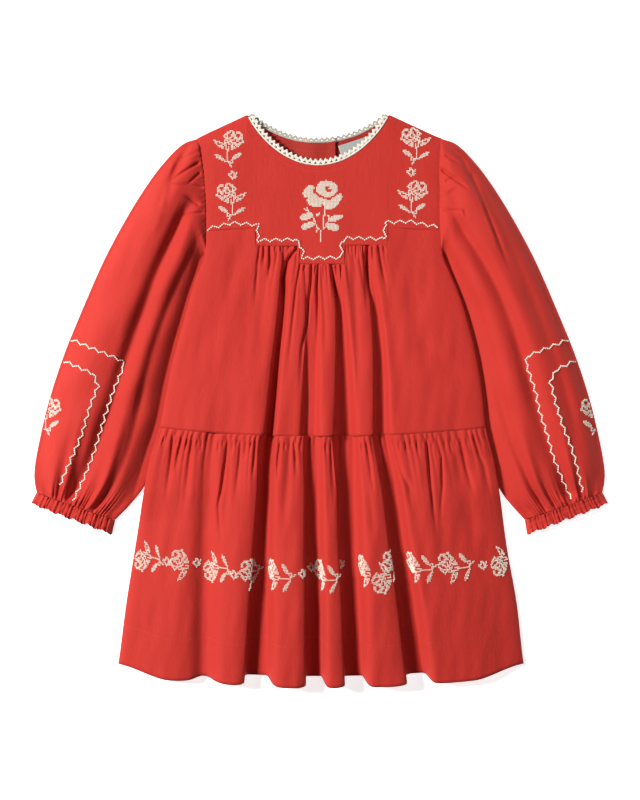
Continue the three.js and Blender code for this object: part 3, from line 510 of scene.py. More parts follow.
def sleeve_height(hand, at, across):
    """Top of the tube: folded edge + puff, less its long folds, plus gathers at both ends."""
    x, y, long = sleeve_plan(hand, at, across)
    outward = across * long - EDGE_REACH / 2
    inward = (1 - across) * long - sleeve_tables["under"](at) - EDGE_REACH / 2
    run = mix(12, SLEEVE_SIDE_RUN, ease(0, 1.5, at))
    full = rise(outward / run) * rise(inward / run)
    grown = ease(0.6, 3, at) * (1 - ease(11, 12, at))
    depth = creases(SIDE[hand] * x, y, SLEEVE_CREASES[hand]) * ease(0, 0.3, at)
    for cap, elbow, wrist, wide, deep, lip in SLEEVE_FOLDS[hand]:
        centre = np.where(at < 6, mix(cap, elbow, ease(1, 6, at)), mix(elbow, wrist, ease(6, 12, at)))
        q = (across - centre) * long / wide
        depth = depth + deep * grown * np.exp(-((q + 0.28 * np.exp(-q * q)) ** 2))
    fine = np.exp(-at / 0.35) * 0.5 * gather_wave(across * 120, 5.2)
    phase = across * 150 + 6 * np.sin(across * 23)
    wrist_near = ease(9.4, 12, at) * ease(0, 0.06, across) * ease(1, 0.94, across)
    wrist = 1.3 * wrist_near ** 1.5 * gather_wave(phase, 7.6)
    uneven = across * 6.3 + 0.16 * np.sin(across * 17 + 1) + 0.1 * np.sin(at)
    broad = 2.3 * ease(7.6, 11.2, at) * ease(12, 11.6, at) * np.cos(TAU * uneven)
    lying = FOLD_EDGE + sleeve_tables["puff"](at) * full
    soft = 0.7 * wander(x, y, 44, 11) * ease(0.6, 3, at)
    top = lying + (fine + wrist + broad + soft) * full ** 0.6
    tucked = 1.2 * np.exp(-at / 0.05)
    return np.maximum(FOLD_EDGE * 0.9, top - depth * full) - tucked


def sleeve_surface(hand, at, across):
    """Point on the sleeve's top, with the folded edges rounded: z = r + r sin."""
    x, y, long = sleeve_plan(hand, at, across)
    edge = EDGE_REACH / long
    near = np.clip(np.minimum(across, 1 - across) / edge, 0, 1)
    r = FOLD_EDGE / 2
    inner = sleeve_height(hand, at, np.clip(across, edge, 1 - edge))
    z = r + (inner - r) * np.sqrt(np.maximum(0, 1 - (1 - near) ** 2))
    return np.stack([SIDE[hand] * x, y, z], -1)


STEP_ALONG, STEP_ACROSS = 0.01, 0.001


def sleeve_from_plan(hand, x, y):
    """Place and share across for points of the plan, by Newton steps."""
    at = np.interp(-y, [-262, -218, -140, -43, 42, 92], [0, 2.5, 5, 7, 9, 11.5])
    across = np.full_like(at, 0.3)
    for _ in range(25):
        px, py, _ = sleeve_plan(hand, at, across)
        ax, ay, _ = sleeve_plan(hand, at + STEP_ALONG, across)
        bx, by, _ = sleeve_plan(hand, at, across + STEP_ACROSS)
        a11, a21 = (ax - px) / STEP_ALONG, (ay - py) / STEP_ALONG
        a12, a22 = (bx - px) / STEP_ACROSS, (by - py) / STEP_ACROSS
        rx, ry = SIDE[hand] * x - px, y - py
        det = a11 * a22 - a12 * a21
        at = np.clip(at + 0.8 * (rx * a22 - ry * a12) / det, 0.05, 11.95)
        across = np.clip(across + 0.8 * (ry * a11 - rx * a21) / det, -0.3, 1.2)
    return at, across


# %% [markdown]
# ## Materials
# Each shared effect is a node group with named inputs. The weave and crinkle follow the
# cloth through its UV map, which is in centimetres of cloth.

# %% Materials
def new_group(name, inputs, outputs):
    """Node group with named sockets; returns it with its input and output nodes."""
    group = bpy.data.node_groups.new(name, "ShaderNodeTree")
    for label, kind, value in inputs:
        socket = group.interface.new_socket(label, in_out="INPUT", socket_type=kind)
        if value is not None:
            socket.default_value = value
    for label, kind in outputs:
        group.interface.new_socket(label, in_out="OUTPUT", socket_type=kind)
    return group, group.nodes.new("NodeGroupInput"), group.nodes.new("NodeGroupOutput")


def node(tree, kind, links=None, **settings):
    """Adds a node, sets its properties, and fills or links its inputs by name or index."""
    made = tree.nodes.new(kind)
    for key, value in settings.items():
        setattr(made, key, value)
    for key, value in (links or {}).items():
        if hasattr(value, "is_output"):
            tree.links.new(value, made.inputs[key])
        else:
            made.inputs[key].default_value = value
    return made


def math(tree, operation, a, b=0.5):
    return node(tree, "ShaderNodeMath", {0: a, 1: b}, operation=operation).outputs[0]


FLOAT, VECTOR = "NodeSocketFloat", "NodeSocketVector"

# plain weave with slubs: warp and weft ridges over a soft crinkle
weave, weave_in, weave_out = new_group(
    "Cotton weave",
    [("Vector", VECTOR, None), ("Threads per cm", FLOAT, 22.0), ("Crinkle", FLOAT, 0.5)],
    [("Height", FLOAT), ("Tone", FLOAT)])
split = node(weave, "ShaderNodeSeparateXYZ", {0: weave_in.outputs["Vector"]})


def stretched_noise(stretch, settings):
    """Noise of the weave's coordinates, stretched by the scales along x, y and z."""
    mapped = node(weave, "ShaderNodeMapping", {"Vector": weave_in.outputs["Vector"], "Scale": stretch})
    return node(weave, "ShaderNodeTexNoise", {"Vector": mapped.outputs[0], **settings}).outputs[0]


slub = stretched_noise((0.8, 14.0, 1.0), {"Scale": 1.6, "Detail": 2.0})
streak = stretched_noise((9.0, 0.7, 1.0), {"Scale": 1.5, "Detail": 3.0})
crinkle = stretched_noise((1.6, 0.7, 1.0), {"Scale": 0.9, "Detail": 4.0, "Roughness": 0.6})
pitch = math(weave, "MULTIPLY", weave_in.outputs["Threads per cm"], TAU / 2)
warp = math(weave, "SINE", math(weave, "MULTIPLY", split.outputs[0], pitch))
weft = math(weave, "SINE", math(weave, "MULTIPLY", split.outputs[1], pitch))
over = math(weave, "MULTIPLY", warp, weft)
threads_height = math(weave, "ADD", math(weave, "MULTIPLY", over, 0.05),
                      math(weave, "MULTIPLY", slub, 0.16))
streaked = math(weave, "ADD", threads_height, math(weave, "MULTIPLY", streak, 0.22))
deep = math(weave, "MULTIPLY", crinkle, weave_in.outputs["Crinkle"])
weave.links.new(math(weave, "ADD", streaked, deep), weave_out.inputs["Height"])
toned = math(weave, "ADD", math(weave, "MULTIPLY", slub, 0.5), math(weave, "MULTIPLY", streak, 0.5))
weave.links.new(toned, weave_out.inputs["Tone"])

# spun thread: fine twist along the stitch
twist, twist_in, twist_out = new_group(
    "Thread twist", [("Vector", VECTOR, None), ("Scale", FLOAT, 1.0)], [("Height", FLOAT)])
wave = node(twist, "ShaderNodeTexWave", {
    "Vector": twist_in.outputs["Vector"], "Scale": twist_in.outputs["Scale"], "Distortion": 2.5,
    "Detail": 2.0, "Detail Scale": 1.5}, bands_direction="DIAGONAL")
twist.links.new(wave.outputs["Fac"], twist_out.inputs["Height"])


def painted(name, settings):
    """Material whose shader has the given inputs; returns it with its tree and shader."""
    material = bpy.data.materials.new(name)
    material.use_nodes = True
    shader = material.node_tree.nodes["Principled BSDF"]
    for key, value in settings.items():
        shader.inputs[key].default_value = value
    return material, material.node_tree, shader


def bumped(tree, shader, height, strength, distance):
    bump = node(tree, "ShaderNodeBump", {"Height": height, "Strength": strength, "Distance": distance})
    tree.links.new(bump.outputs[0], shader.inputs["Normal"])


def cloth_material(name, light, dark, crinkle_size, roughness=0.82, sheen=0.18):
    """Woven cotton: two close colours by its tone, bump from weave and crinkle."""
    material, tree, shader = painted(name, {
        "Roughness": roughness, "Sheen Weight": sheen, "Sheen Roughness": 0.5,
        "Sheen Tint": (1, 0.45, 0.38, 1), "Specular IOR Level": 0.7,
        "Specular Tint": (1, 0.75, 0.62, 1)})
    cloth = node(tree, "ShaderNodeGroup", node_tree=weave)
    tree.links.new(node(tree, "ShaderNodeUVMap", uv_map="cloth").outputs[0], cloth.inputs["Vector"])
    cloth.inputs["Crinkle"].default_value = crinkle_size
    colour = node(tree, "ShaderNodeMix", {0: cloth.outputs["Tone"], 6: dark, 7: light}, data_type="RGBA")
    tree.links.new(colour.outputs[2], shader.inputs["Base Color"])
    bumped(tree, shader, cloth.outputs["Height"], 0.55, 0.0011)
    return material


def thread_material(name, colour, scale):
    """Spun thread: one colour with the twist as its bump."""
    material, tree, shader = painted(name, {"Base Color": colour, "Roughness": 0.7, "Sheen Weight": 0.3})
    spun = node(tree, "ShaderNodeGroup", {"Scale": scale}, node_tree=twist)
    tree.links.new(node(tree, "ShaderNodeTexCoord").outputs["Object"], spun.inputs["Vector"])
    bumped(tree, shader, spun.outputs["Height"], 0.4, 0.0002)
    return material


red_cotton = cloth_material("Red cotton", (0.52, 0.017, 0.011, 1), (0.44, 0.009, 0.006, 1), 0.9)
# painted shade: a darker copy of the red cotton for the back yokes inside the neck, in place of the shade
# that falls there under the front
red_painted_shade = cloth_material("Red cotton, painted shade", (0.36, 0.010, 0.007, 1),
                            (0.29, 0.006, 0.004, 1), 0.9)
ecru_thread = thread_material("Ecru thread", (0.97, 0.88, 0.74, 1), 900)
ecru_lace = thread_material("Ecru lace", (0.85, 0.79, 0.68, 1), 700)
# painted shade: a darker, greyer copy of the ecru lace for the back neckline's lace, in place of the shade of
# the front
painted_shade_lace = thread_material("Ecru lace, painted shade", (0.5, 0.46, 0.385, 1), 700)
red_thread = thread_material("Red thread", (0.55, 0.026, 0.02, 1), 1200)
label_tape = cloth_material("Label tape", (0.40, 0.42, 0.40, 1), (0.35, 0.37, 0.355, 1), 0.25, 0.5, 0.1)
resin, _, _ = painted("Button resin", {"Base Color": (0.5, 0.04, 0.03, 1), "Roughness": 0.25,
                                       "Coat Weight": 0.4})
print("materials", [m.name for m in bpy.data.materials])

# %% [markdown]
# ## Meshes
# Sheets are grids of quads with a rim added by thickness. Threads are short tubes laid from
# one point over a raised middle to another.

# %% Mesh makers
def grid_faces(rows, columns, closed=False):
    """Quads of a grid, joined round its columns if closed."""
    index = np.arange(rows * columns).reshape(rows, columns)
    if closed:
        index = np.concatenate([index, index[:, :1]], 1)
    return np.stack([index[:-1, :-1], index[:-1, 1:], index[1:, 1:], index[1:, :-1]], -1).reshape(-1, 4)


def added(name, data):
    """Object of the data, linked to the scene."""
    made = bpy.data.objects.new(name, data)
    bpy.context.scene.collection.objects.link(made)
    return made


def new_object(name, points, faces, material, uv=None):
    """Mesh object at the origin from points in mm, smooth shaded."""
    mesh = bpy.data.meshes.new(name)
    flat = np.asarray(points, float).reshape(-1, 3) * MM
    mesh.vertices.add(len(flat))
    mesh.vertices.foreach_set("co", flat.ravel())
    faces = np.asarray(faces)
    mesh.loops.add(faces.size)
    mesh.polygons.add(len(faces))
    mesh.loops.foreach_set("vertex_index", faces.ravel())
    mesh.polygons.foreach_set("loop_start", np.arange(len(faces)) * faces.shape[1])
    mesh.update(calc_edges=True)
    mesh.validate()
    mesh.polygons.foreach_set("use_smooth", np.ones(len(mesh.polygons), bool))
    if uv is not None:
        layer = mesh.uv_layers.new(name="cloth")
        layer.data.foreach_set("uv", (np.asarray(uv, float).reshape(-1, 2) * 0.1)[faces.ravel()].ravel())
    mesh.materials.append(material)
    return added(name, mesh)


def cloth_runs(points):
    """Lengths along the cloth in mm, across and down a grid of points."""
    across = np.linalg.norm(np.diff(points, axis=1), axis=2)
    down = np.linalg.norm(np.diff(points, axis=0), axis=2)
    u = np.concatenate([np.zeros((len(points), 1)), np.cumsum(across, 1)], 1)
    v = np.concatenate([np.zeros((1, points.shape[1])), np.cumsum(down, 0)], 0)
    return u, v


def thicken(made, thick, offset=-1):
    solidify = made.modifiers.new("thickness", "SOLIDIFY")
    solidify.thickness, solidify.offset = thick * MM, offset


def cloth_piece(name, points, nodes, flat, closed=False, material=None, thick=0.7,
                flip=False, offset=-1, area=None):
    """Sheet of cloth from a grid of points: UV in mm of cloth, thickness inwards, its frame.
    flat is the cut's width and length in mm, area its area in cm2 if it isn't a rectangle."""
    u, v = cloth_runs(points)
    middle = u[len(u) // 2]
    uv = np.stack(np.broadcast_arrays(middle, np.median(v, 1)[:, None]), -1)
    if closed:
        points = np.concatenate([points, points[:, :1]], 1)
        uv = np.concatenate([uv, uv[:, -1:] + (1.5, 0)], 1)
    faces = grid_faces(*points.shape[:2])
    if flip:
        faces = faces[:, ::-1]
    made = new_object(name, points, faces, material or red_cotton, uv)
    thicken(made, thick, offset)
    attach(made, "root")
    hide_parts(*nodes)
    cut = area or flat[0] * flat[1] / 100
    diagonals = np.cross(points[1:, 1:] - points[:-1, :-1], points[1:, :-1] - points[:-1, 1:])
    cells = np.linalg.norm(diagonals, axis=-1) / 2
    print(f"{name}: {points.shape[0]} x {points.shape[1]} points, {cells.sum() / 100:.0f} of {cut:.0f} cm2")


def tubes(name, start, middle, end, up, radius, material, sides=4, steps=4):
    """Threads from start over middle to end, as one mesh. The centre line is the parabola
    through the three points; sections turn in the plane across it."""
    t = np.linspace(0, 1, steps)[None, :, None]
    line = ((1 - t) * (1 - 2 * t) * start[:, None] + 4 * t * (1 - t) * middle[:, None]
            + t * (2 * t - 1) * end[:, None])
    along = unit(end - start)
    side = unit(np.cross(along, up))
    lifted = np.cross(side, along)
    angle = (np.arange(sides) + 0.5) * TAU / sides
    size = np.broadcast_to(radius, len(start))[:, None, None, None] * (1 - 0.35 * (2 * t - 1) ** 4)[..., None]
    ring = side[:, None, None] * np.cos(angle)[:, None] + lifted[:, None, None] * np.sin(angle)[:, None]
    points = line[:, :, None] + size * ring
    one = grid_faces(steps, sides, closed=True)
    faces = (one[None] + (np.arange(len(start)) * steps * sides)[:, None, None]).reshape(-1, 4)
    made = new_object(name, points, faces, material)
    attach(made, "root")


# %% [markdown]
# ## Cloth pieces
# The front yoke and the two folded panels carry the look; the back pieces lie flat under
# them and show inside the neck and from below.

# %% Front yoke
seam_edge_x = np.sort(np.concatenate([np.linspace(-111, 118, 300), YOKE_SEAM[1:-1, 0]]))


def yoke_surface(x, y):
    above = y - np.interp(x, YOKE_SEAM[:, 0], YOKE_SEAM[:, 1])
    soft = ease(0, 14, above) * ease(0, 18, yoke_top_y(x) - y)
    z = yoke_height(x, y) + 0.35 * soft * wander(x, y, 40, 21)
    return np.stack([x, y, z], -1)


rows = spread(70)[:, None]
xs = seam_edge_x[None, :]
seam_y = np.interp(xs, YOKE_SEAM[:, 0], YOKE_SEAM[:, 1]) - 0.2
ys = mix(yoke_top_y(xs), seam_y, rows)
left_y = mix(SHOULDER_Y, seam_y[0, 0], rows)
right_y = mix(SHOULDER_Y, seam_y[0, -1], rows)
xs = np.broadcast_to(xs, ys.shape)
edge_shares = np.array([0, 1, 2, 4, 6]) / 8  # columns between the armhole's curve and the rest
yoke_x = np.concatenate([mix(body_left(left_y), xs[:, :1], edge_shares), xs,
                         mix(body_right(right_y), xs[:, -1:], edge_shares[::-1])], 1)
yoke_y = np.concatenate([mix(left_y, ys[:, :1], edge_shares), ys,
                         mix(right_y, ys[:, -1:], edge_shares[::-1])], 1)
yoke_points = yoke_surface(yoke_x, yoke_y)
yoke_points[..., 2] -= 0.2 * np.exp(-(1 - rows) * 90)
cloth_piece("front_yoke", yoke_points, ["yoke_front"], (250, 160), flip=True, area=245)

# %% Folded front panels
def panel_piece(name, node_name, panel, shares, step, flat, area):
    surface = panel[0]
    places, _ = even_places(*panel, 0.8, step)
    grid = surface(places[None, :], shares[:, None])
    cloth_piece(name, grid, [node_name], flat, flip=True, area=area)


near_top = (0, 0.02, 6), (0.02, 0.3, 40)
panel_piece("front_bodice", "bodice_front", bodice_panel, stepped(*near_top, (0.3, 1, 50)), 0.75,
            (390, 200), 650)
panel_piece("front_skirt", "skirt_front", skirt_panel, stepped(*near_top, (0.3, 1, 46)), 1.06,
            (560, 250), 1200)

# %% Back panels
def back_piece(name, node_name, top_y, foot_y, flat):
    """Flat panel of the back; its top and foot follow curves in x, found in three steps."""
    across, share = spread(90)[None, :], spread(60)[:, None]
    y = mix(top_y(0), foot_y(0), share)
    for _ in range(3):
        x = mix(body_left(y), body_right(y), across)
        y = mix(top_y(x), foot_y(x), share)
    z = back_lift(x, y) + MID_WALL
    cloth_piece(name, np.stack([x, y, z], -1), [node_name], flat, offset=1)


back_piece("back_bodice", "bodice_back", lambda x: BACK_YOKE_Y - SEAM / 2 + 0 * x,
           lambda x: waist_y(x) + SEAM / 2, (330, 210))
back_piece("back_skirt", "skirt_back", lambda x: waist_y(x) - SEAM / 2,
           lambda x: hem_base(x) + 1, (400, 240))


ARMHOLE_X = {"right": -108, "left": 106}  # last column inside the armhole's curve


def back_yoke(name, node_name, hand, edge_x, layer, flat, area):
    """Half of the back yoke from the placket's edge out to the armhole."""
    line = np.concatenate([np.linspace(edge_x, ARMHOLE_X[hand], 150), [0.0]])[None, :]
    share = spread(60)[:, None]
    seam = BACK_YOKE_Y + SEAM / 2
    y = mix(yoke_top_y(line, back_neck_y), seam, share)
    y[:, -1] = mix(SHOULDER_Y, seam, share[:, 0])
    x = np.broadcast_to(line, y.shape).copy()
    x[:, -1] = (body_left if hand == "right" else body_right)(y[:, -1])
    z = layer(x, y) + CLOTH + 0.12 * wander(x, y, 26, 8)
    # the back yokes take the red cotton with painted shade
    cloth_piece(name, np.stack([x, y, z], -1), [node_name], flat, flip=hand == "left",
                area=area, material=red_painted_shade)


back_yoke("back_yoke_right", "yoke_back_right", "right", PLACKET_EDGE, placket_layer, (138, 112), 125)
back_yoke("back_yoke_left", "yoke_back_left", "left", PLACKET_EDGE - 2 * PLACKET_HALF, under_layer,
          (124, 112), 118)

# %% Sleeves and cuffs
def sleeve_piece(hand):
    """Ring of points round the tube: folded outer edge, top, folded inner edge, underside."""
    at = stepped((0, 0.6, 14), (0.6, 2.2, 26), (2.2, 9.5, 80), (9.5, 12, 40))[:, None]
    fold = 1 - np.cos(np.linspace(0, np.pi / 2, 6))
    reach = EDGE_REACH / 120
    inside = np.linspace(reach, 1 - reach, 130)
    across = np.concatenate([fold * reach, inside[1:-1], 1 - (fold * reach)[::-1]])[None, :]
    top = sleeve_surface(hand, at, across + 0 * at)
    under = spread(24)[None, 1:-1]
    x, y, _ = sleeve_plan(hand, at, mix(*UNDERSIDE, under) + 0 * at)
    bottom = np.stack([SIDE[hand] * x, y, MID_WALL + 0 * x], -1)
    ring = np.concatenate([top, bottom], 1)
    cloth_piece(hand + "_sleeve_cloth", ring, ["sleeve_" + hand], (300, 400), area=850,
                closed=True, flip=hand == "right")


def cuff_point(hand, across, down):
    """Top of a cuff: ruffled casing, its waves growing towards the free edge."""
    sleeve_foot = sleeve_plan(hand, np.array(12.0), np.array([0.0, 1.0]))
    (fx, tx), (fy, ty), _ = sleeve_foot
    x = mix(mix(fx, CUFF_FOOT[0], down), mix(tx, CUFF_FOOT[2], down), across)
    y = mix(mix(fy, CUFF_FOOT[1], down), mix(ty, CUFF_FOOT[3], down), across)
    puffed = 6.4 + 0.6 * np.sin(np.pi * down) - 0.8 * down
    smooth = FOLD_EDGE + puffed * rise(across * CUFF_WIDE / 30) * rise((1 - across) * CUFF_WIDE / 30)
    phase = TAU * 21 * across + 1.6 * np.sin(across * 29 + 1) + 0.8 * np.sin(across * 67) + 0.5 * down
    size = (0.55 + 0.75 * (2 * down - 1) ** 2) * (0.8 + 0.35 * np.sin(across * 41 + 2))
    pleat = 2 * np.sqrt(np.cos(phase / 2) ** 2 + 0.02)
    ruffle = size * pleat + 0.3 * np.sin(phase * 0.5 + 5 * down)
    elastic = -0.35 * sum(np.exp(-((down - row) / 0.06) ** 2) for row in (0.3, 0.7))
    edge = np.sqrt(np.clip(np.minimum(across, 1 - across) / 0.035, 0, 1))
    z = mix(FOLD_EDGE / 2, smooth + ruffle + elastic, edge)
    along = down * (0.7 * np.cos(phase) + 0.8 * np.sin(across * 37))
    return np.stack([SIDE[hand] * x, y + along, z], -1)


def cuff_piece(hand):
    down, across = np.linspace(0.02, 1, 24)[:, None], spread(280)[None, :]
    top = cuff_point(hand, across + 0 * down, down + 0 * across)
    under = mix(*UNDERSIDE, spread(24)[None, 1:-1])
    low = cuff_point(hand, under + 0 * down, down + 0 * under)
    low[..., 2] = MID_WALL
    cloth_piece(hand + "_cuff_cloth", np.concatenate([top, low], 1), ["cuff_" + hand], (210, 14),
                closed=True, flip=hand == "right")


for hand in ("right", "left"):
    sleeve_piece(hand)
    cuff_piece(hand)

# %% [markdown]
# ## Lace, label and buttons
# The lace repeats an arch with an eyelet under it and a pointed picot on top.

# %% Lace
LACE_FOOT, LACE_PICOT, LACE_REPEAT, LACE_STEPS, LACE_ROWS = 3.6, 2.7, 5.6, 18, 20
BACK_LACE = 0.85  # size of the back's lace, seen from its wrong side


def lace_width(phase):
    """Width at a share of the repeat: a plain foot and a pointed picot in its middle."""
    return LACE_FOOT + LACE_PICOT * (1 - np.abs(2 * phase - 1)) ** 1.2


def neck_arc(first, last, count):
    """x of points round the neckline, between two angles."""
    return NECK_X - NECK_HALF * np.cos(np.linspace(first, last, count))


def lace_piece(name, node_name, x_from, x_to, line_y, height, scale=1.0, material=ecru_lace):
    """Strip along a neckline, wide as its picots, with the eyelets left out."""
    ends = np.arccos(np.clip((NECK_X - np.array([x_from, x_to])) / NECK_HALF, -1, 1))
    x = neck_arc(*ends, 1500)
    base = np.stack([x, line_y(x)], -1)
    run = run_of(base)
    columns = int(round(run[-1] / LACE_REPEAT)) * LACE_STEPS
    here = along_line(np.linspace(0, run[-1], columns + 1), run, base)
    ahead = unit(np.gradient(here, axis=0))
    inward = np.stack([-ahead[:, 1], ahead[:, 0]], -1)
    phase = np.arange(columns + 1) / LACE_STEPS % 1
    tall = scale * lace_width(phase)
    w = spread(LACE_ROWS + 1)[:, None]
    flat_points = here[None] + inward[None] * (0.4 + w * tall[None])[..., None]
    z0 = height(here[:, 0], here[:, 1])[None, :]
    stitch = np.abs(np.sin(np.pi * phase * 5))[None, :] * np.abs(np.sin(np.pi * w * tall[None] / 1.05))
    z = z0 + 0.15 + 0.55 * stitch - 0.25 * w
    points = np.concatenate([flat_points, z[..., None]], -1)
    points[..., 1] = np.minimum(points[..., 1], NECK_Y + 0.3)
    faces = grid_faces(LACE_ROWS + 1, columns + 1)
    cell_s = (np.arange(columns) + 0.5) / LACE_STEPS % 1
    cell_w = (spread(LACE_ROWS + 1)[:-1] + 0.5 / LACE_ROWS)[:, None] * (scale * lace_width(cell_s))
    half_hole = 0.22 * np.clip((3.1 * scale - cell_w) / 1.2, 0, 1)
    eyelet = (cell_w > 1.3 * scale) & (np.abs(cell_s - 0.5) < half_hole)
    made = new_object(name, points, faces[~eyelet.ravel()][:, ::-1], material,
                      np.stack(cloth_runs(points), -1))
    thicken(made, 0.6)
    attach(made, "root")
    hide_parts(node_name)


lace_piece("lace_front", "neck_lace_front", *LACE_ENDS, front_neck_y, yoke_height)
lace_piece("lace_back_right", "neck_lace_back_right", LACE_ENDS[0], PLACKET_EDGE, back_neck_y,
           lambda x, y: over_layer(x, y) + CLOTH, BACK_LACE, painted_shade_lace)
lace_piece("lace_back_left", "neck_lace_back_left", PLACKET_EDGE + 0.6, LACE_ENDS[1], back_neck_y,
           lambda x, y: under_layer(x, y) + CLOTH, BACK_LACE, painted_shade_lace)

# %% Label
LABEL_WIDE, LABEL_TALL, LABEL_TURN = 36, 19, 0.33
across, down = spread(40)[None, :], spread(24)[:, None]
cos, sin = np.cos(LABEL_TURN), np.sin(LABEL_TURN)
label_x = 18.6 + LABEL_WIDE * across * cos + LABEL_TALL * down * sin
label_y = 254 + LABEL_WIDE * across * sin - LABEL_TALL * down * cos
label_z = under_layer(label_x, label_y) + 3.0 + 0.5 * np.sin(np.pi * across) * down
cloth_piece("neck_label", np.stack([label_x, label_y, label_z], -1), ["label"], (LABEL_WIDE, LABEL_TALL),
            material=label_tape, thick=0.35, flip=True)

# %% Buttons
def turned(profile, centre, count=48):
    """Surface of revolution about a vertical axis from radius and height pairs."""
    r, z = np.array(profile, float).T
    angle = np.arange(count) * TAU / count
    return np.stack([centre[0] + r[:, None] * np.cos(angle), centre[1] + r[:, None] * np.sin(angle),
                     z[:, None] + 0 * angle], -1)


BUTTON_PROFILE = [(0.01, 0.7), (2.9, 0.7), (3.5, 0.35), (4.1, 0.05), (4.7, 0.02), (5.2, 0.25),
                  (5.45, 0.7), (5.45, 1.4), (5.1, 1.85), (4.4, 2.0), (0.01, 2.0)]
for number, y in enumerate(BUTTON_YS, 1):
    ring = turned(BUTTON_PROFILE, (BUTTON_X, y))
    button = new_object(f"button_{number}_turned", ring, grid_faces(*ring.shape[:2], closed=True), resin)
    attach(button, "root")
    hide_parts(f"button_{number}")

# %% [markdown]
# ## Embroidery
# Counted cross-stitch in one ecru thread. A motif is a set of cells, each worked as two
# threads that cross over it. The charts are listed cell by cell or drawn from a few ovals and lines.

# %% Charts
STITCH = 1.35
SMALL_ROSE = """
............###........
..........###.##.###...
.........###..##.####..
........###..####...##.
.......##.#..####...##.
........###.##.###.###.
.........####..#######.
##......###.####.###.#.
.####...#.####...##..##
.##.###.####.####..####
..#...####.##.#######..
...####.##...##.####...
....####.#.#.###.##....
......##.#.#.####......
.........###.##........
..........##...........
..........#............
..........#.......###..
.###......#.....#####..
..####....#....#####...
..#####...#...#####....
....####..#...###......
......###.#..##........
........#####.#........
...........####........
............#..........
............##.........
.............#.........
"""
TINY_FLOWER = """
..##...
..###.#
###.###
##..##.
.##.###
..####.
...#...
"""


def chart_cells(text):
    """Centres of the marked cells in mm, X right and Y up, about the chart's middle."""
    lines = text.split()
    marked = np.array([[mark == "#" for mark in line] for line in lines])
    row, column = np.nonzero(marked)
    centre = (np.array(marked.shape) - 1) / 2
    return np.stack([column - centre[1], centre[0] - row], -1) * STITCH


def oval(x, y, cx, cy, rx, ry, turn=0.0):
    """Size of an oval's level at a point: 1 on its outline."""
    c, s = np.cos(turn), np.sin(turn)
    u, v = (x - cx) * c + (y - cy) * s, -(x - cx) * s + (y - cy) * c
    return np.hypot(u / rx, v / ry)


def from_line(x, y, start, end):
    """Distance of points from the line between two others."""
    (x0, y0), (x1, y1) = start, end
    t = np.clip(((x - x0) * (x1 - x0) + (y - y0) * (y1 - y0)) / ((x1 - x0) ** 2 + (y1 - y0) ** 2), 0, 1)
    return np.hypot(x - mix(x0, x1, t), y - mix(y0, y1, t))


def big_rose_cells():
    """Rose 31 stitches wide: solid petals parted by open lines, a heart, a stem, buds and
    four leaves, each from an oval or a line."""
    x, y = np.meshgrid(np.arange(-17, 18), np.arange(-25, 25))
    petals = [(-8.5, 12.8, 5.2, 4.0, 0.75), (-4, 6.4, 6.2, 5.0, -0.2), (6.4, 5, 7.6, 5.4, 0.35),
              (12.4, 8, 4.2, 3.2, 0.9), (4.5, 15, 8.2, 6.0, -0.1)]
    levels = np.array([oval(x, y, *p) for p in petals])
    filled = levels.min(0) < 1
    parted = [((-3.4, 18.5), (-4.6, 12.6)), ((-4.6, 12.6), (-1.4, 10.2)), ((-0.8, 9.4), (5.4, 7.4)),
              ((6.4, 7.4), (12.6, 11.4)), ((1.2, 2.6), (1.6, 0.6))]
    for start, end in parted:
        filled &= from_line(x, y, start, end) > 0.75
    filled &= ~((oval(x, y, 5.6, 14.6, 2.7, 1.9, -0.6) < 1) & (oval(x, y, 6.6, 15.4, 1, 0.7) > 1))
    leaves = [(-10.5, -5.6, 5.4, 2.5, 0.25), (-9.4, -12.4, 5.4, 2.3, 0.3), (11.2, -6.8, 5.2, 2.3, 0.35),
              (8.8, -13.4, 5.2, 2.7, -0.3), (-2.2, -4.4, 2.0, 0.9, 0.75)]
    for leaf in leaves:
        filled |= oval(x, y, *leaf) < 1
    stems = [((3.4, -1), (2.6, -5)), ((1.6, -5), (1.6, -15)), ((0, -16), (0, -24)),
             ((-5.5, -6.5), (-2.5, -14)), ((-2.5, -14), (0, -16)), ((4, -13), (1.6, -15.5)),
             ((5.5, -5), (6, -8.5)), ((6, -8.5), (3.6, -12.5)), ((-10.4, 0.8), (-8, -3.6)),
             ((-11.8, -0.4), (-10, -0.8)), ((-2.6, -16), (-2.8, -17))]
    for start, end in stems:
        filled |= from_line(x, y, start, end) < 0.56
    return np.stack([x[filled], y[filled]], -1) * STITCH


small_rose, tiny_flower, big_rose = chart_cells(SMALL_ROSE), chart_cells(TINY_FLOWER), big_rose_cells()
print("stitches in the motifs:", len(small_rose), len(tiny_flower), len(big_rose))


def placed(cells, x, y, turn=0.0, mirror=1, size=0.9, radius=0.36):
    """Cells of a motif at a place, each with its turn, the stitch's size and its thread's radius."""
    c, s = np.cos(turn), np.sin(turn)
    u, v = cells[:, 0] * mirror, cells[:, 1]
    centres = np.stack([x + u * c - v * s, y + u * s + v * c], -1)
    return np.concatenate([centres, np.tile((turn, size, radius), (len(cells), 1))], 1)


SWINGS = np.array([-1, -0.3, 0.4, 1, 0.4, -0.3])  # of the six stitches in a period


def zigzag(points, period=11.3, size=1.45):
    """Stitches along a line that step from side to side of it, with their direction."""
    points = np.array(points, float)
    run = run_of(points)
    count = int(round(run[-1] / period)) * len(SWINGS)
    here = along_line((np.arange(count) + 0.5) * run[-1] / count, run, points)
    ahead = [np.convolve(np.pad(column, 1, "edge"), np.ones(3) / 3, "valid")
             for column in np.gradient(here, axis=0).T]
    ahead = unit(np.stack(ahead, -1))
    swing = size * SWINGS[np.arange(count) % len(SWINGS)]
    spots = here + np.stack([-ahead[:, 1], ahead[:, 0]], -1) * swing[:, None]
    return np.concatenate([spots, np.arctan2(ahead[:, 1], ahead[:, 0])[:, None]], 1)


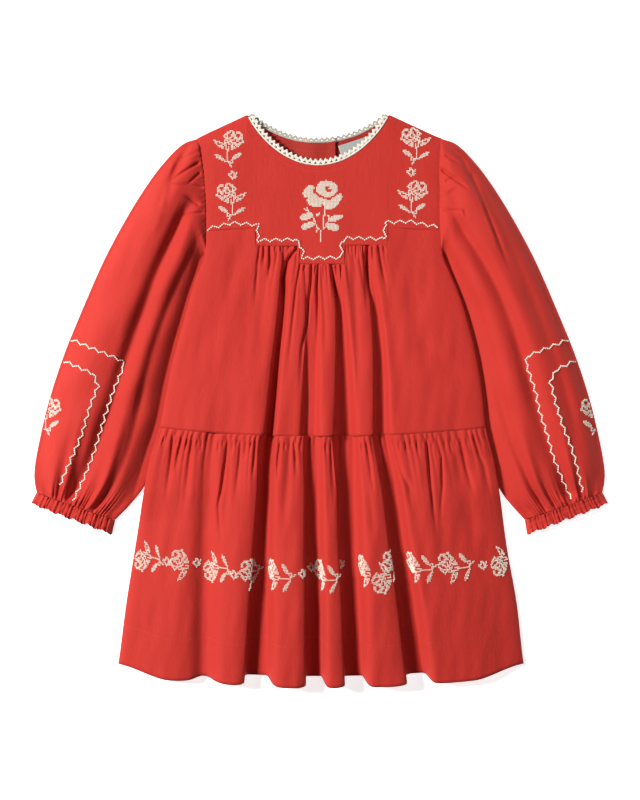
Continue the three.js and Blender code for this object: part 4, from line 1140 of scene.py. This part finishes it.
def cross_stitches(name, cells, surface):
    """Two crossing threads on each cell, which is x, y, turn, size and the thread's radius.
    surface gives points and normals at the plan."""
    turn, size, radius = cells[:, 2], cells[:, 3], cells[:, 4]
    reach = STITCH * 0.6 * size
    ends = []
    for k in range(4):
        angle = turn + np.pi / 4 + k * np.pi / 2
        ends.append(surface(cells[:, 0] + reach * np.cos(angle), cells[:, 1] + reach * np.sin(angle))[0])
    middle, normal = surface(cells[:, 0], cells[:, 1])
    start = np.concatenate([ends[0], ends[1]])
    end = np.concatenate([ends[2], ends[3]])
    over = np.concatenate([middle + normal * 0.4, middle + normal * 0.62])
    up = np.concatenate([normal, normal])
    tubes(name, start, over, end, up, np.tile(radius, 2), ecru_thread)


def bead_stitches(name, cells, surface, length=1.75, radius=0.78):
    """One short thick thread on each cell, along the line that the zigzag follows."""
    reach = length / 2
    dx, dy = reach * np.cos(cells[:, 2]), reach * np.sin(cells[:, 2])
    middle, normal = surface(cells[:, 0], cells[:, 1])
    start, _ = surface(cells[:, 0] - dx, cells[:, 1] - dy)
    end, _ = surface(cells[:, 0] + dx, cells[:, 1] + dy)
    tubes(name, start, middle + normal * 0.5, end, normal, radius, ecru_thread, 6, 5)


def with_normals(surface, step=0.4):
    """Adds upward normals to a surface given over the plan."""
    def both(a, b):
        across = surface(a + step, b) - surface(a - step, b)
        down = surface(a, b + step) - surface(a, b - step)
        normal = unit(np.cross(across, down))
        return surface(a, b), normal * np.sign(normal[..., 2:])
    return both


# %% Yoke embroidery
YOKE_ZIGZAG = [(-112.5, 170.5), (-87, 176.5), (-61, 174.5), (-61.5, 159), (-23.5, 160),
               (-17, 150.5), (-16.3, 141), (22, 142), (22, 158), (29, 161.5), (65, 160.5),
               (65.5, 177), (90, 178), (118.5, 172.5)]
yoke_cells = np.concatenate([
    placed(big_rose, 1.3, 190.5, size=0.96, radius=0.37),
    placed(small_rose, -90.5, 250.8), placed(tiny_flower, -86.5, 224.2),
    placed(small_rose, -88, 197.6, 0, -1),
    placed(small_rose, 96, 253.6, -0.03, -1), placed(tiny_flower, 91.5, 227.2),
    placed(small_rose, 93, 200.2),
])
cross_stitches("yoke_embroidery", yoke_cells, with_normals(yoke_surface))
bead_stitches("yoke_zigzag", zigzag(YOKE_ZIGZAG), with_normals(yoke_surface))

# %% Sleeve embroidery
SLEEVE_FRAMES = {
    "right": [[(-248, 60.5), (-197, 39.5), (-195, 33), (-204.5, 11), (-213.5, -15), (-224.5, -52),
               (-233.5, -75), (-246, -101)],
              [(-255, 39), (-224.5, 26), (-219.5, 14), (-227.5, -6), (-235.5, -33), (-247.5, -61),
               (-258.5, -85)]],
    "left": [[(253.5, 62.5), (207.5, 44), (206, 36), (215.5, 8), (219.5, -12), (227.5, -36),
              (233.5, -58), (242.5, -79), (252, -99)],
             [(260.5, 42), (235.5, 30), (229, 19), (235.5, -6), (241.5, -26), (250.5, -47),
              (256.5, -67), (263, -92)]],
}
SLEEVE_ROSE_X, SLEEVE_ROSE_Y = {"right": -272.5, "left": 275.5}, -16.5
for hand, frames in SLEEVE_FRAMES.items():
    def on_sleeve(x, y, hand=hand):
        where, share = sleeve_from_plan(hand, x, y)
        return sleeve_surface(hand, where, share)

    def on_top(cells, hand=hand):
        where, share = sleeve_from_plan(hand, cells[:, 0], cells[:, 1])
        return cells[(share > 0.015) & (where < 11.85)]

    rose = placed(small_rose, SLEEVE_ROSE_X[hand], SLEEVE_ROSE_Y, 0, -SIDE[hand])
    cross_stitches(f"{hand}_sleeve_rose", on_top(rose), with_normals(on_sleeve))
    lines = np.concatenate([zigzag(line, 10.4, 1.35) for line in frames])
    bead_stitches(f"{hand}_sleeve_zigzag", on_top(lines), with_normals(on_sleeve))

# %% Skirt band
BAND_SHARE, BAND_ROW, HALF_ROSE = 0.572, 240.0, 18.2
fine_top = np.linspace(SKIRT_L, SKIRT_R, 5000)
band_line = skirt_surface(fine_top, np.full_like(fine_top, BAND_SHARE))
band_run = run_of(band_line)


def on_band(s, t):
    """Point of the skirt from lengths along the cloth: s from the side seam, t upwards."""
    return skirt_surface(np.interp(s, band_run, fine_top), BAND_SHARE - t / BAND_ROW)


# motifs of the band: where its left end (-1) or right end (1) comes in plan, x, y, leaf down
# (1) or up (-1), its length against the chart's, and if only the bloom shows
BAND_ROSES = [
    (-1, -185, -154.5, -1, 0.84, False), (-1, -149.5, -163.5, 1, 1, True),
    (-1, -115.5, -165, -1, 0.88, False), (-1, -79, -174, 1, 1, False), (1, -23.5, -176, 1, 1, False),
    (1, 21, -176, 1, 1, False), (1, 68, -171, 1, 1, True), (-1, 52, -177, -1, 1, True),
    (-1, 65, -166, 1, 0.9, True), (1, 118.5, -167, 1, 1, False), (-1, 120, -168, 1, 1, False),
    (-1, 171.5, -163, -1, 0.9, False),
]
BAND_TINY = [(-153, -161.4), (-122.5, -162.4), (-84.8, -173.6), (-16.6, -172.5), (-8, -167),
             (21.5, -164), (93.5, -168), (163.5, -165)]
bloom = small_rose[small_rose[:, 1] > -1]


def band_place(x, y):
    """Lengths along the band's cloth where it first comes to x in plan, and up from its line."""
    at = np.argmax(band_line[:, 0] >= x)
    return band_run[at], y - band_line[at, 1]


def band_rose(end, x, y, flip, squeeze, only_bloom):
    """Rose of the band, lying along it; its middle is half its length from the given end."""
    s, t = band_place(x, y)
    cells = (bloom if only_bloom else small_rose) * (1, squeeze)
    return placed(cells, s - end * squeeze * HALF_ROSE, t, np.pi / 2, flip, 0.86, 0.33)


band_cells = [band_rose(*row) for row in BAND_ROSES]
band_cells += [placed(tiny_flower, *band_place(x, y)) for x, y in BAND_TINY]
band_cells = np.concatenate(band_cells)
kept = (band_cells[:, 0] > 2) & (band_cells[:, 0] < band_run[-1] - 2)
cross_stitches("skirt_embroidery", band_cells[kept], with_normals(on_band))
print("band stitches", int(kept.sum()), "along", round(float(band_run[-1])), "mm of cloth")

# %% [markdown]
# ## Seam stitching
# Rows of short running stitches in the cloth's own red.

# %% Running stitches
def running(name, points, normals, length=2.3, gap=1.0, radius=0.22):
    """Stitches along a dense line of points on the cloth."""
    run = run_of(points)
    begin = np.arange(0, run[-1] - length, length + gap)
    up = along_line(begin + length / 2, run, normals)
    start, middle, end = (along_line(begin + share * length, run, points) for share in (0, 0.5, 1))
    tubes(name, start + up * 0.02, middle + up * 0.2, end + up * 0.02, up, radius, red_thread)


FRONT_TOPSTITCH, BACK_TOPSTITCH = 6, 8.5  # from the neckline
stitch_x = neck_arc(0.35, np.pi - 0.35, 800)
edge_line = np.stack([stitch_x, front_neck_y(stitch_x)], -1)
ahead = unit(np.gradient(edge_line, axis=0))
offset = edge_line + np.stack([ahead[:, 1], -ahead[:, 0]], -1) * FRONT_TOPSTITCH
running("neck_topstitch", *with_normals(yoke_surface)(offset[:, 0], offset[:, 1]))

back_x = neck_arc(0.6, 1.8, 400)


def back_surface(x, y):
    return np.stack([x, y, placket_layer(x, y) + CLOTH], -1)


running("back_neck_topstitch",
        *with_normals(back_surface)(back_x, back_neck_y(back_x) - BACK_TOPSTITCH), length=1.9)

HEM_DEPTH, SKIRT_LENGTH = 40, 245
hem_share = 1 - HEM_DEPTH / SKIRT_LENGTH
places, _ = even_places(*skirt_panel, 0.85, 0.5)
inner = places[(places > SKIRT_L + 1) & (places < SKIRT_R - 1)]
hem_points = skirt_surface(inner, hem_share)
hem_across = skirt_surface(inner + 0.05, hem_share) - hem_points
hem_down = skirt_surface(inner, hem_share + 0.002) - hem_points
hem_normals = unit(np.cross(hem_down, hem_across))
running("hem_topstitch", hem_points, hem_normals * np.sign(hem_normals[:, 2:]), radius=0.15)

# %% [markdown]
# ## Setting
# A pale floor, a broad soft light from the left that leaves the folds' right sides dark,
# a weak fill, and a card for the shaded side of each sleeve. The camera looks straight
# down, one pixel to the millimetre.

# %% Floor, lights and camera
floor_mesh = bpy.data.meshes.new("floor")
floor_mesh.from_pydata([(-3, -3, 0), (3, -3, 0), (3, 3, 0), (-3, 3, 0)], [], [(0, 1, 2, 3)])
floor_paint, _, _ = painted("Floor", {"Base Color": (0.9, 0.9, 0.9, 1), "Roughness": 0.95,
                                      "Emission Color": (1, 1, 1, 1), "Emission Strength": 0.75})
floor_mesh.materials.append(floor_paint)
floor = added("floor", floor_mesh)
floor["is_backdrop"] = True


def light(name, kind, place, target, power, **settings):
    """Light that is turned towards its target."""
    data = bpy.data.lights.new(name, kind)
    data.energy = power
    for key, value in settings.items():
        setattr(data, key, value)
    made = added(name, data)
    made.location = place
    made.rotation_euler = (Vector(target) - Vector(place)).to_track_quat("-Z", "Y").to_euler()


light("key", "AREA", (-2.9, 0.9, 2.85), (0, 0, 0), 272, shape="SQUARE", size=0.7)
light("top", "AREA", (0.9, -0.2, 3.0), (0, 0, 0), 6, shape="SQUARE", size=1.5)
# a card's reflection: a spot with a fully soft edge that lights one sleeve only
card = {"spot_blend": 1, "shadow_soft_size": 0.3}
light("card_left", "SPOT", (1.45, 0.35, 1.5), (0.262, 0.07, 0), 85, spot_size=0.26, **card)
light("card_right", "SPOT", (1.3, 0.3, 1.5), (-0.2, 0.03, 0), 36, spot_size=0.15, **card)
world = bpy.data.worlds.new("studio")
world.use_nodes = True
world.node_tree.nodes["Background"].inputs[0].default_value = (1, 1, 1, 1)
world.node_tree.nodes["Background"].inputs[1].default_value = 0.02
bpy.context.scene.world = world

camera_data = bpy.data.cameras.new("camera")
camera_data.lens, camera_data.sensor_width = 90, 36
camera = added("camera", camera_data)
camera.location = (0.0005, 0, 2.006)
bpy.context.scene.camera = camera
bpy.context.scene.view_settings.view_transform = "Standard"

# %% Bounds
bounds_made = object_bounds()


def plain(value):
    return [plain(v) for v in value] if hasattr(value, "__len__") else float(value)


plain(bounds_loaded)
plain(bounds_made)
